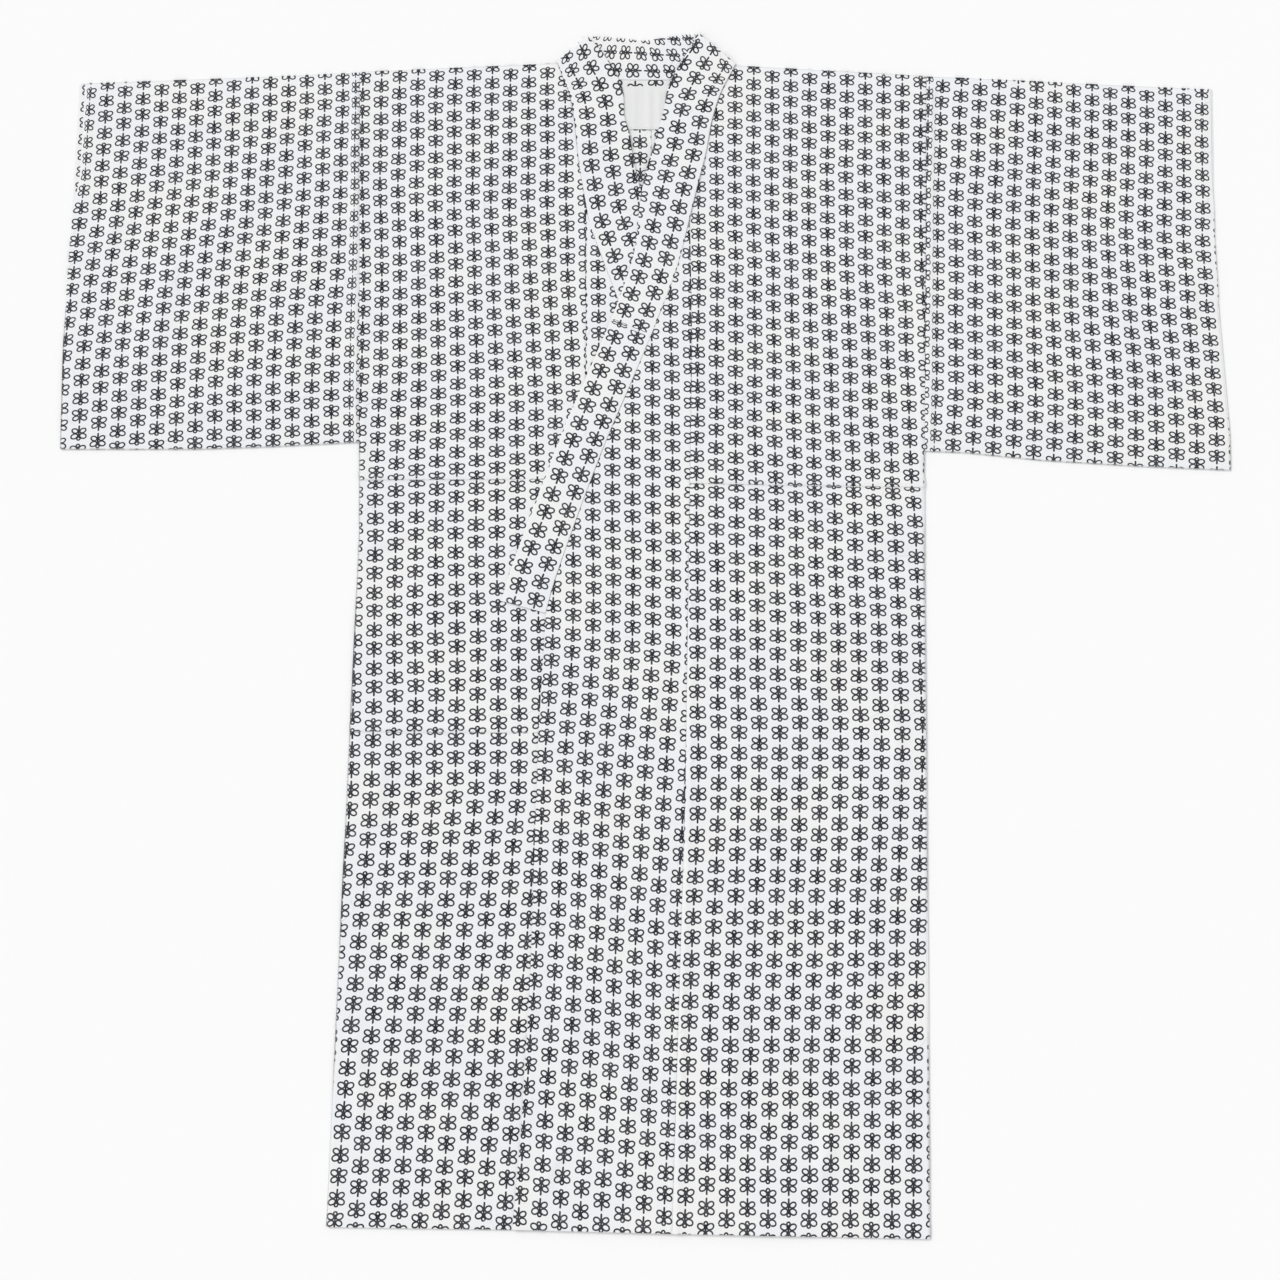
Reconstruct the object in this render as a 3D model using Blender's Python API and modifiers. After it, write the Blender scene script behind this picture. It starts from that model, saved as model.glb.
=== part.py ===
"""A cotton yukata robe laid flat with its front up, as sewn pieces of cloth.

Metres. +X is to the viewer's right, +Y is towards the collar and +Z is up from the floor.
Every piece is drawn about the robe's centre line with the shoulder fold at y = 0. A drop is
a distance below that fold. One empty then brings the middle of the robe to the origin.
"""
import math
from collections import namedtuple

import bmesh
import bpy
from mathutils import Vector

# Walls and clearances
CLOTH = 0.0010
BAND = 0.0020
SEAM_GAP = 0.0003
SEAM_SLANT = math.radians(22)
EDGE_SHIFT = SEAM_GAP / math.cos(SEAM_SLANT)

# Heights of a piece's underside, by what it lies on
ON_FLOOR = 0.0
ON_BACK = ON_FLOOR + CLOTH + SEAM_GAP
ON_FRONT = ON_BACK + CLOTH + SEAM_GAP
ON_LINING = ON_FRONT
ON_BAND = ON_BACK + BAND + SEAM_GAP

# A fold joins a back layer to the front layer that lies on it
FOLD_RADIUS = (ON_BACK - ON_FLOOR) / 2
FOLD_REACH = FOLD_RADIUS + CLOTH / 2
FOLD_STEPS = 4

# Lengths
FRONT_LENGTH_LEFT = 1.3935
FRONT_LENGTH_RIGHT = 1.3965
UNDER_OKUMI_SHORTER = 0.002
COLLAR_END = 0.6520
BACK_HEM_SHORTER = 0.004
SLEEVE_DROP_LEFT = 0.4476
SLEEVE_DROP_RIGHT = 0.4584
CENTRE_SEAM = 0.0070
NECK_DIP = 0.0128
LINING_DROP = 0.0720
LINING_SIDES = (-0.0750, 0.0700)

# Fineness of the cloth's grid
STEP = 0.028
COARSE_STEP = 0.35
BAND_COLUMNS = 4

# The soft step of a piece over the edge of what lies under it
STEP_MARGIN = 0.010
STEP_SLOPE = 0.080

# Lines on the robe, as pairs of drop and distance right of the centre line
SIDE_LEFT = ((0.0, -0.3425), (0.560, -0.3440), (1.400, -0.3840))
SIDE_RIGHT = ((0.0, 0.3370), (0.460, 0.3350), (0.560, 0.3350), (0.900, 0.3380), (1.410, 0.3420))
WRIST_LEFT = ((0.0, -0.6780), (0.180, -0.6885), (0.330, -0.6990), (0.460, -0.7026))
WRIST_RIGHT = ((0.0, 0.6795), (0.200, 0.6825), (0.300, 0.6890), (0.437, 0.7014), (0.485, 0.7026))
OKUMI_SEAM_LEFT = ((0.162, -0.0712), (0.400, -0.0714), (0.700, -0.0680), (1.000, -0.0620), (1.400, -0.0500))
OKUMI_SEAM_RIGHT = ((0.178, 0.0530), (0.324, 0.0558), (0.636, 0.0510), (0.876, 0.0474), (1.272, 0.0354), (1.400, 0.0317))
FREE_EDGE_LEFT = ((COLLAR_END, 0.1130), (0.804, 0.1210), (1.092, 0.1310), (1.272, 0.1410), (1.400, 0.1520))
FREE_EDGE_RIGHT = ((COLLAR_END, -0.1197), (0.804, -0.1290), (1.092, -0.1386), (1.272, -0.1494), (1.400, -0.1608))

# How far a row of cloth rises above its drop at the panel's edges, as pairs of drop and rise
LEVEL = ((0.0, 0.0), (1.400, 0.0))
NECK_RISE_LEFT = ((0.0, 0.0076), (0.060, 0.0030), (0.100, 0.0), (1.400, 0.0))
NECK_RISE_RIGHT = ((0.0, 0.0050), (0.060, 0.0015), (0.090, 0.0), (1.400, 0.0))
SIDE_RISE_LEFT = ((0.0, -0.0028), (0.447, -0.0010), (1.400, 0.0050))
SIDE_RISE_RIGHT = ((0.0, -0.0078), (0.458, -0.0050), (1.400, -0.0065))
FREE_RISE_RIGHT = ((0.0, 0.0), (0.650, 0.0), (1.400, 0.0050))

# The collar's arms: where the seam runs, the band's width, its tilt in degrees above level
# from seam to free edge, and the height of its underside
Arm = namedtuple("Arm", "drop seam width tilt rest")
LEFT_ARM = (
    Arm(-0.0080, -0.1055, 0.0480, 41.0, ON_LINING),
    Arm(0.0120, -0.0980, 0.0566, 32.0, ON_LINING),
    Arm(0.0250, -0.0925, 0.0600, 22.5, ON_LINING),
    Arm(0.0380, -0.0890, 0.0630, 12.6, ON_LINING),
    Arm(0.0600, -0.0855, 0.0602, 4.8, ON_LINING),
    Arm(0.0850, -0.0826, 0.0640, 6.5, ON_LINING),
    Arm(0.1090, -0.0800, 0.0650, 7.5, 0.0020),
    Arm(0.1490, -0.0735, 0.0668, 11.5, ON_BACK),
    Arm(0.1620, -0.0712, 0.0680, 13.5, ON_BACK),
    Arm(0.1800, -0.0680, 0.0690, 16.0, ON_BACK),
    Arm(0.2070, -0.0590, 0.0660, 20.0, ON_BACK),
    Arm(0.2270, -0.0515, 0.0620, 22.0, ON_BACK),
    Arm(0.3000, -0.0235, 0.0580, 21.5, ON_BACK),
    Arm(0.4280, 0.0260, 0.0560, 21.5, ON_BACK),
    Arm(0.5400, 0.0700, 0.0550, 21.5, ON_BACK),
    Arm(COLLAR_END, 0.1130, 0.0555, 15.0, ON_BACK),
)
RIGHT_ARM = (
    Arm(-0.0055, 0.1075, 0.0565, 40.0, ON_LINING),
    Arm(0.0110, 0.0990, 0.0580, 30.0, ON_LINING),
    Arm(0.0220, 0.0930, 0.0600, 20.0, ON_LINING),
    Arm(0.0340, 0.0880, 0.0620, 12.5, ON_LINING),
    Arm(0.0600, 0.0800, 0.0590, 12.0, ON_LINING),
    Arm(0.1000, 0.0725, 0.0630, 8.0, 0.0030),
    Arm(0.1390, 0.0625, 0.0645, 12.5, ON_BAND),
    Arm(0.1780, 0.0530, 0.0620, 16.5, ON_BAND),
    Arm(0.2390, 0.0375, 0.0545, 20.0, ON_BAND),
    Arm(0.2950, 0.0165, 0.0520, 21.0, ON_BAND),
    Arm(0.3660, -0.0130, 0.0520, 21.5, ON_BAND),
    Arm(0.4460, -0.0475, 0.0525, 21.0, ON_FRONT),
    Arm(0.5110, -0.0725, 0.0530, 21.0, ON_FRONT),
    Arm(0.5770, -0.0965, 0.0535, 20.5, ON_FRONT),
    Arm(0.6180, -0.1105, 0.0540, 18.0, ON_FRONT),
    Arm(COLLAR_END, -0.1197, 0.0555, 15.0, ON_FRONT),
)

# The collar at the back of the neck: its seam's place along the neck, and its free edge
Nape = namedtuple("Nape", "seam free rise")
NAPE = (
    Nape(-0.0800, -0.0545, 0.0393),
    Nape(-0.0540, -0.0400, 0.0383),
    Nape(-0.0270, -0.0220, 0.0367),
    Nape(CENTRE_SEAM, -0.0035, 0.0345),
    Nape(0.0340, 0.0160, 0.0370),
    Nape(0.0600, 0.0360, 0.0400),
    Nape(0.0850, 0.0530, 0.0420),
)

# Sleeve edges from armhole to wrist: share of the way out, and the drops of both edges
Cuff = namedtuple("Cuff", "share top bottom")
SLEEVE_LEFT = (
    Cuff(0.00, 0.0036, SLEEVE_DROP_LEFT),
    Cuff(0.30, 0.0082, 0.4530),
    Cuff(0.55, 0.0115, 0.4560),
    Cuff(1.00, 0.0168, 0.4560),
)
SLEEVE_RIGHT = (
    Cuff(0.00, 0.0085, SLEEVE_DROP_RIGHT),
    Cuff(0.13, 0.0100, 0.4600),
    Cuff(0.38, 0.0140, 0.4692),
    Cuff(0.70, 0.0195, 0.4764),
    Cuff(1.00, 0.0240, 0.4812),
)

# Tucks across the fronts: the drop of the fold line, how far it stands up, and where it fades
Tuck = namedtuple("Tuck", "drop height start end")
WAIST_TUCK_LEFT = Tuck(0.4910, 0.0011, -0.168, -0.130)
LOWER_TUCK_LEFT = Tuck(0.7950, 0.0009, -0.170, -0.134)
WAIST_TUCK_RIGHT = Tuck(0.4960, 0.0011, -1.0, -0.9)
TUCK_SOFT_SIDE = 0.012
TUCK_SHARP_SIDE = 0.002
TUCK_TOP = 0.004

# The largest soft ridges of the upper cloth: centre, drop, half length, half width, height
# and the turn of its length from the X axis in degrees
Ridge = namedtuple("Ridge", "x drop length width height turn")
RIDGES = (
    Ridge(-0.480, 0.150, 0.150, 0.034, 0.0016, 62),
    Ridge(-0.590, 0.300, 0.130, 0.030, 0.0019, 78),
    Ridge(-0.420, 0.350, 0.110, 0.032, 0.0014, 104),
    Ridge(0.455, 0.200, 0.160, 0.034, 0.0018, 118),
    Ridge(0.570, 0.330, 0.140, 0.031, 0.0020, 96),
    Ridge(0.620, 0.130, 0.090, 0.030, 0.0013, 84),
    Ridge(-0.270, 0.250, 0.190, 0.036, 0.0015, 82),
    Ridge(-0.255, 0.640, 0.120, 0.034, 0.0014, 96),
    Ridge(-0.280, 1.050, 0.230, 0.038, 0.0018, 86),
    Ridge(0.245, 0.300, 0.190, 0.036, 0.0015, 100),
    Ridge(0.205, 0.720, 0.170, 0.036, 0.0016, 84),
    Ridge(0.262, 1.080, 0.240, 0.038, 0.0019, 93),
    Ridge(-0.060, 0.950, 0.210, 0.036, 0.0015, 88),
    Ridge(-0.020, 1.240, 0.120, 0.034, 0.0014, 99),
)

PRINTED_COTTON = (0.66, 0.67, 0.70, 1.0)
PLAIN_COTTON = (0.90, 0.90, 0.89, 1.0)
COTTON_ROUGHNESS = 0.85


def value_at(line, position):
    """The value of a line of (position, value) pairs, straight between its points."""
    for (start, low), (end, high) in zip(line, line[1:]):
        if position <= end:
            break
    return low + (high - low) * (position - start) / (end - start)


def fall(distance, width):
    """One up to no distance, then a soft slope to nothing over the width."""
    share = min(max(distance / width, 0.0), 1.0)
    return 1.0 - share * share * (3.0 - 2.0 * share)


def moved(line, shift):
    return tuple((position, value + shift) for position, value in line)


def arm_free_point(arm, side):
    """The free edge of one section of a collar's arm; side is +1 where it lies to the right."""
    tilt = math.radians(arm.tilt)
    return Vector((arm.seam + side * arm.width * math.cos(tilt), -arm.drop + arm.width * math.sin(tilt)))


def free_line(arms, side):
    points = [arm_free_point(arm, side) for arm in arms]
    return tuple((-point.y, point.x) for point in points)


def seam_line(arms):
    return tuple((arm.drop, arm.seam) for arm in arms)


LEFT_ARM_SEAM = seam_line(LEFT_ARM)
RIGHT_ARM_SEAM = seam_line(RIGHT_ARM)
LEFT_ARM_FREE = free_line(LEFT_ARM, 1)
LEFT_TIP = OKUMI_SEAM_LEFT[0][0]
RIGHT_TIP = OKUMI_SEAM_RIGHT[0][0]
COLLAR_END = LEFT_ARM[-1].drop


def joined(upper, lower, change):
    """One line that follows the upper one as far as a drop, and the lower one from there."""
    above = tuple(pair for pair in upper if pair[0] < change)
    return above + tuple(pair for pair in lower if pair[0] >= change)


INNER_LEFT = moved(joined(LEFT_ARM_SEAM, OKUMI_SEAM_LEFT, LEFT_TIP), -EDGE_SHIFT)
INNER_RIGHT = moved(joined(RIGHT_ARM_SEAM, OKUMI_SEAM_RIGHT, RIGHT_TIP), EDGE_SHIFT)
UNDER_EDGE = joined(LEFT_ARM_SEAM, FREE_EDGE_LEFT, COLLAR_END)
UPPER_EDGE = joined(RIGHT_ARM_SEAM, FREE_EDGE_RIGHT, COLLAR_END)


def neck_drop(x):
    """The drop of the back neck seam, which dips between the neck's two ends."""
    inner, rise = (INNER_LEFT, NECK_RISE_LEFT) if x < CENTRE_SEAM else (INNER_RIGHT, NECK_RISE_RIGHT)
    end_drop = FOLD_REACH - value_at(rise, FOLD_REACH)
    half = abs(value_at(inner, end_drop) - CENTRE_SEAM)
    share = min(abs(x - CENTRE_SEAM) / half, 1.0)
    return end_drop + (NECK_DIP - end_drop) * (1.0 - share ** 4)


NECK_LINE = tuple((row.seam, neck_drop(row.seam)) for row in NAPE)


def ridge_height(x, drop):
    """How far the soft ridges lift the upper cloth at a point."""
    total = 0.0
    for ridge in RIDGES:
        turn = math.radians(ridge.turn)
        across_x, along_y = x - ridge.x, ridge.drop - drop
        along = across_x * math.cos(turn) + along_y * math.sin(turn)
        across = along_y * math.cos(turn) - across_x * math.sin(turn)
        total += ridge.height * fall(abs(along), ridge.length) * fall(abs(across), ridge.width)
    return total


def tuck_height(tuck, x, drop):
    """A tuck rises softly from above and drops sharply at its fold line."""
    above = tuck.drop - drop
    if above >= 0:
        profile = fall(above - TUCK_TOP, TUCK_SOFT_SIDE)
    else:
        profile = fall(-above, TUCK_SHARP_SIDE)
    return tuck.height * profile * fall(x - tuck.start, tuck.end - tuck.start)


def left_front_rest(x, drop):
    covered = fall(value_at(UPPER_EDGE, drop) - 0.075 - x, STEP_SLOPE / 2)
    lift = tuck_height(WAIST_TUCK_LEFT, x, drop) + tuck_height(LOWER_TUCK_LEFT, x, drop)
    return ON_BACK + lift + ridge_height(x, drop) * (1.0 - covered)


def under_okumi_rest(x, drop):
    return ON_BACK


def upper_front_rest(x, drop):
    """The upper front steps softly up on to the under front and on to the collar's left arm."""
    edge = value_at(UNDER_EDGE, drop)
    on_front = ON_BACK + (ON_FRONT - ON_BACK) * fall(x - edge - STEP_MARGIN, STEP_SLOPE)
    over_band = (
        fall(x - value_at(LEFT_ARM_FREE, drop) - STEP_MARGIN, STEP_SLOPE)
        * fall(value_at(LEFT_ARM_SEAM, drop) - STEP_MARGIN - x, STEP_SLOPE)
        * fall(drop - COLLAR_END - STEP_MARGIN, STEP_SLOPE)
    )
    on_band = ON_BACK + (ON_BAND - ON_BACK) * over_band
    return max(on_front, on_band)


def right_front_rest(x, drop):
    tuck = tuck_height(WAIST_TUCK_RIGHT, -1.0, drop)
    return upper_front_rest(x, drop) + tuck + ridge_height(x, drop)


def right_okumi_rest(x, drop):
    return upper_front_rest(x, drop) + ridge_height(x, drop)


def stations(top, bottom, step, lines, extra=()):
    """Drops of a panel's rows: its own ends, each bend of its edges, and no gap above the step."""
    bends = {drop for line in lines for drop, _ in line if top < drop < bottom}
    marks = sorted(bends | {top, bottom} | {drop for drop in extra if top < drop < bottom})
    drops = []
    for start, end in zip(marks, marks[1:]):
        count = max(1, math.ceil((end - start) / step))
        drops += [start + (end - start) * index / count for index in range(count)]
    return drops + [bottom]


def tuck_stations(*tucks):
    offsets = (-TUCK_TOP - TUCK_SOFT_SIDE, -TUCK_TOP - TUCK_SOFT_SIDE / 2, -TUCK_TOP, 0.0, TUCK_SHARP_SIDE)
    return [tuck.drop + offset for tuck in tucks for offset in offsets]


def panel_rows(drops, columns, inner, outer, inner_rise, outer_rise, rest):
    """Rows of points of one layer of cloth, from its inner edge to its outer edge."""
    rows = []
    for drop in drops:
        low, high = value_at(inner_rise, drop), value_at(outer_rise, drop)
        start, end = value_at(inner, drop - low), value_at(outer, drop - high)
        row = []
        for index in range(columns + 1):
            share = index / columns
            x = start + (end - start) * share
            y = -drop + low + (high - low) * share
            row.append(Vector((x, y, rest(x, drop) + CLOTH / 2)))
        rows.append(row)
    return rows


def fold_rows(upper_row, lower_row):
    """Points of the rounded fold between the first rows of an upper and a lower layer."""
    rows = []
    for step in range(1, FOLD_STEPS):
        angle = math.pi * step / FOLD_STEPS
        row = []
        for above, below in zip(upper_row, lower_row):
            middle = (above + below) / 2
            radius = (above.z - below.z) / 2
            row.append(middle + Vector((0, radius * math.sin(angle), radius * math.cos(angle))))
        rows.append(row)
    return rows


def add_vertices(mesh, rows):
    return [[mesh.verts.new(point) for point in row] for row in rows]


def add_faces(mesh, rows):
    for upper, lower in zip(rows, rows[1:]):
        for index in range(len(upper) - 1):
            mesh.faces.new((upper[index], upper[index + 1], lower[index + 1], lower[index]))


def cotton(name, colour):
    material = bpy.data.materials.new(name)
    material.use_nodes = True
    shader = material.node_tree.nodes["Principled BSDF"]
    shader.inputs["Base Color"].default_value = colour
    shader.inputs["Roughness"].default_value = COTTON_ROUGHNESS
    shader.inputs["Metallic"].default_value = 0.0
    return material


def wall_object(name, mesh, wall, colour, root, collection):
    """An open surface of cloth made into a closed wall of its real thickness."""
    bmesh.ops.recalc_face_normals(mesh, faces=mesh.faces)
    data = bpy.data.meshes.new(name)
    mesh.to_mesh(data)
    mesh.free()
    data.shade_smooth()
    piece = bpy.data.objects.new(name, data)
    piece.data.materials.append(cotton(name, colour))
    collection.objects.link(piece)
    piece.parent = root
    thickness = piece.modifiers.new("wall", "SOLIDIFY")
    thickness.thickness = wall
    thickness.offset = 0.0
    thickness.use_even_offset = True
    return piece


def body_mesh(inner, outer, inner_rise, outer_rise, length, tucks, rest, neck_nodes):
    """A body panel: its front, the shoulder fold, and its back as far as the centre seam."""
    drops = stations(FOLD_REACH, length, STEP, (inner, outer), tuck_stations(*tucks))
    width = abs(value_at(outer, length) - value_at(inner, length))
    columns = max(6, round(width / STEP))
    front = panel_rows(drops, columns, inner, outer, inner_rise, outer_rise, rest)
    for point in front[0]:
        point.z = ON_BACK + CLOTH / 2

    side = math.copysign(1.0, outer[0][1])
    centre = CENTRE_SEAM + side * SEAM_GAP / 2
    ends = [point.copy() for point in front[0]]
    neck = [Vector((x, -drop - SEAM_GAP, 0)) for x, drop in neck_nodes]
    neck[0].x = centre
    top = neck + ends
    span = abs(value_at(outer, FOLD_REACH) - centre)
    shares = [abs(point.x - centre) / span for point in top]
    back_drops = stations(NECK_DIP * 2, length - BACK_HEM_SHORTER, COARSE_STEP, (outer,))
    back = [top]
    for drop in back_drops:
        reach = value_at(outer, drop)
        rise = value_at(outer_rise, drop)
        back.append([Vector((centre + (reach - centre) * share, -drop + rise * share, 0)) for share in shares])
    for row in back:
        for point in row:
            point.z = ON_FLOOR + CLOTH / 2

    mesh = bmesh.new()
    front_vertices = add_vertices(mesh, front)
    back_vertices = add_vertices(mesh, back)
    fold_vertices = add_vertices(mesh, fold_rows(front[0], top[len(neck):]))
    add_faces(mesh, front_vertices)
    add_faces(mesh, back_vertices)
    add_faces(mesh, [front_vertices[0]] + fold_vertices + [back_vertices[0][len(neck):]])
    return mesh


def okumi_mesh(seam, edge, free_rise, tip, length, rest):
    """A tapered overlap panel between its seam and the collar or its own free edge."""
    blunt_tip = tip + 0.012
    drops = stations(blunt_tip, length, STEP, (seam, edge))
    columns = max(4, round(abs(value_at(edge, length) - value_at(seam, length)) / STEP))
    rows = panel_rows(drops, columns, seam, edge, LEVEL, free_rise, rest)
    mesh = bmesh.new()
    add_faces(mesh, add_vertices(mesh, rows))
    return mesh


def sleeve_mesh(edges, armhole, wrist):
    """A flat sleeve, folded along its top; the two layers are sewn at the bottom and the wrist."""
    tops = tuple((row.share, row.top) for row in edges)
    bottoms = tuple((row.share, row.bottom) for row in edges)
    columns = round(abs(wrist[0][1] - armhole[0][1]) / STEP)
    side = math.copysign(1.0, armhole[0][1])

    def layer(count, rest):
        rows = []
        for row_index in range(count + 1):
            row = []
            for column in range(columns + 1):
                share = column / columns
                top = value_at(tops, share) + FOLD_REACH
                drop = top + (value_at(bottoms, share) - top) * row_index / count
                start = value_at(armhole, drop) + side * SEAM_GAP
                x = start + (value_at(wrist, drop) - start) * share
                row.append(Vector((x, -drop, rest(x, drop) + CLOTH / 2)))
            rows.append(row)
        return rows

    front = layer(round(edges[0].bottom / STEP), lambda x, drop: ON_BACK + ridge_height(x, drop))
    back = layer(2, lambda x, drop: ON_FLOOR)
    for point in front[0]:
        point.z = ON_BACK + CLOTH / 2
    mesh = bmesh.new()
    front_vertices = add_vertices(mesh, front)
    back_vertices = add_vertices(mesh, back)
    fold_vertices = add_vertices(mesh, fold_rows(front[0], back[0]))
    add_faces(mesh, front_vertices)
    add_faces(mesh, back_vertices)
    add_faces(mesh, [front_vertices[0]] + fold_vertices + [back_vertices[0]])
    return mesh


def band_row(seam, free, height):
    """One section across the collar band, from its seam to its free edge."""
    row = []
    for index in range(BAND_COLUMNS + 1):
        point = seam.lerp(free, index / BAND_COLUMNS)
        row.append(Vector((point.x, point.y, height)))
    return row


def band_fold(seam, free, low, high):
    """The band turns over along a slanting line, where the neck's back passes to the front."""
    along = (free - seam).normalized()
    outward = Vector((-along.y, along.x))
    if outward.y < 0:
        outward = -outward
    radius = (high - low) / 2
    rows = []
    for step in range(1, FOLD_STEPS):
        angle = math.pi * step / FOLD_STEPS
        shift = outward * radius * math.sin(angle)
        rows.append(band_row(seam + shift, free + shift, (low + high) / 2 - radius * math.cos(angle)))
    return rows


def collar_mesh():
    """One band: up the left arm, over the fold, round the back of the neck and down the right arm."""
    half = BAND / 2
    reach = (ON_LINING - ON_FLOOR) / 2 + half

    def arm_rows(arms, side):
        rows = []
        for arm in arms:
            seam = Vector((arm.seam, -arm.drop))
            rows.append(band_row(seam, arm_free_point(arm, side), arm.rest + half))
        return rows

    def fold_ends(arm, side):
        return Vector((arm.seam, -arm.drop)), arm_free_point(arm, side)

    nape_height = ON_FLOOR + half
    left_seam, left_free = fold_ends(LEFT_ARM[0], 1)
    right_seam, right_free = fold_ends(RIGHT_ARM[0], -1)
    nape = [
        band_row(Vector((row.seam, -neck_drop(row.seam))), Vector((row.free, row.rise)), nape_height)
        for row in NAPE
    ]
    arm_height = ON_LINING + half
    rows = arm_rows(LEFT_ARM, 1)[::-1]
    rows += band_fold(left_seam, left_free, nape_height, arm_height)[::-1]
    rows += [band_row(left_seam, left_free, nape_height)]
    rows += nape
    rows += [band_row(right_seam, right_free, nape_height)]
    rows += band_fold(right_seam, right_free, nape_height, arm_height)
    rows += arm_rows(RIGHT_ARM, -1)
    mesh = bmesh.new()
    add_faces(mesh, add_vertices(mesh, rows))
    return mesh


def lining_mesh():
    """The plain lining on the inside of the back, just below the neck seam."""
    left, right = LINING_SIDES
    places = [left] + [row.seam for row in NAPE if left < row.seam < right] + [right]
    height = ON_BACK + CLOTH / 2
    top = [Vector((x, -value_at(NECK_LINE, x) - SEAM_GAP, height)) for x in places]
    bottom = [Vector((x, -LINING_DROP, height)) for x in places]
    mesh = bmesh.new()
    add_faces(mesh, add_vertices(mesh, [top, bottom]))
    return mesh


def centre_on_origin(root, pieces):
    """Brings the middle of all the pieces, seen from above, over the origin."""
    bpy.context.view_layer.update()
    graph = bpy.context.evaluated_depsgraph_get()
    corners = []
    for piece in pieces:
        evaluated = piece.evaluated_get(graph)
        corners += [evaluated.matrix_world @ Vector(corner) for corner in evaluated.bound_box]
    for axis in range(2):
        low = min(corner[axis] for corner in corners)
        high = max(corner[axis] for corner in corners)
        root.location[axis] = -(low + high) / 2


def main():
    for old in list(bpy.data.objects):
        bpy.data.objects.remove(old)
    collection = bpy.data.collections.new("yukata_robe")
    bpy.context.scene.collection.children.link(collection)
    root = bpy.data.objects.new("robe_frame", None)
    collection.objects.link(root)

    left_neck = [(row.seam, neck_drop(row.seam)) for row in NAPE if row.seam <= CENTRE_SEAM][::-1]
    right_neck = [(row.seam, neck_drop(row.seam)) for row in NAPE if row.seam >= CENTRE_SEAM]
    printed = {
        "body_left": body_mesh(
            INNER_LEFT, SIDE_LEFT, NECK_RISE_LEFT, SIDE_RISE_LEFT, FRONT_LENGTH_LEFT,
            (WAIST_TUCK_LEFT, LOWER_TUCK_LEFT), left_front_rest, left_neck,
        ),
        "body_right": body_mesh(
            INNER_RIGHT, SIDE_RIGHT, NECK_RISE_RIGHT, SIDE_RISE_RIGHT, FRONT_LENGTH_RIGHT,
            (WAIST_TUCK_RIGHT,), right_front_rest, right_neck,
        ),
        "okumi_left": okumi_mesh(
            OKUMI_SEAM_LEFT, moved(UNDER_EDGE, -EDGE_SHIFT), LEVEL, LEFT_TIP,
            FRONT_LENGTH_LEFT - UNDER_OKUMI_SHORTER, under_okumi_rest,
        ),
        "okumi_right": okumi_mesh(
            OKUMI_SEAM_RIGHT, moved(UPPER_EDGE, EDGE_SHIFT), FREE_RISE_RIGHT, RIGHT_TIP,
            FRONT_LENGTH_RIGHT, right_okumi_rest,
        ),
        "sleeve_left": sleeve_mesh(SLEEVE_LEFT, SIDE_LEFT, WRIST_LEFT),
        "sleeve_right": sleeve_mesh(SLEEVE_RIGHT, SIDE_RIGHT, WRIST_RIGHT),
    }
    pieces = [
        wall_object(name, mesh, CLOTH, PRINTED_COTTON, root, collection)
        for name, mesh in printed.items()
    ]
    pieces.append(wall_object("collar", collar_mesh(), BAND, PRINTED_COTTON, root, collection))
    pieces.append(wall_object("neck_lining", lining_mesh(), CLOTH, PLAIN_COTTON, root, collection))
    centre_on_origin(root, pieces)


main()
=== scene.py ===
"""Looks of a cotton yukata robe that lies flat with its front up.

Metres. Each piece is drawn about the robe's centre line with the shoulder fold at y = 0, as in
the part's own drawing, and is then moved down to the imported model's frame. A drop is a distance
below the shoulder fold.
"""
import math
from collections import namedtuple

import bpy
import numpy as np
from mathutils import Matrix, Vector, noise
from mathutils.bvhtree import BVHTree


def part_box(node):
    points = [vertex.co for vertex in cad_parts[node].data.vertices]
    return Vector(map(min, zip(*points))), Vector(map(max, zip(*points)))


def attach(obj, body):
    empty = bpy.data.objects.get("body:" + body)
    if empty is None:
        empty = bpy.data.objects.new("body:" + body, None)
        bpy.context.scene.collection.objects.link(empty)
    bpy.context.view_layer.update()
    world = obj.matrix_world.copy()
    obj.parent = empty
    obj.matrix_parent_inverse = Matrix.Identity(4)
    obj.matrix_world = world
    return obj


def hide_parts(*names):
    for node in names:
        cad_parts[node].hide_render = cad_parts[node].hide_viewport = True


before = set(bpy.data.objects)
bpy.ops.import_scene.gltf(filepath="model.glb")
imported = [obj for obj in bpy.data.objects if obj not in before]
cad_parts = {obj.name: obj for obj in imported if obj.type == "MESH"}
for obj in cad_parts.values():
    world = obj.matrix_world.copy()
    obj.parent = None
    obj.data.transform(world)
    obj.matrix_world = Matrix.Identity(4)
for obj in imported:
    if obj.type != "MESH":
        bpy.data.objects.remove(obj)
scene = bpy.context.scene
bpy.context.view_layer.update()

# Walls and clearances
CLOTH = 0.001
BAND = 0.002
SEAM_GAP = 0.0003
EDGE_SHIFT = SEAM_GAP / math.cos(math.radians(22))

# Heights of a piece's underside, by what it lies on
ON_FLOOR = 0.0
ON_BACK = ON_FLOOR + CLOTH + SEAM_GAP
ON_FRONT = ON_BACK + CLOTH + SEAM_GAP
ON_LINING = ON_FRONT
ON_BAND = ON_BACK + BAND + SEAM_GAP

FOLD_RADIUS = (ON_BACK - ON_FLOOR) / 2
FOLD_REACH = FOLD_RADIUS + CLOTH / 2
FOLD_STEPS = 6

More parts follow.
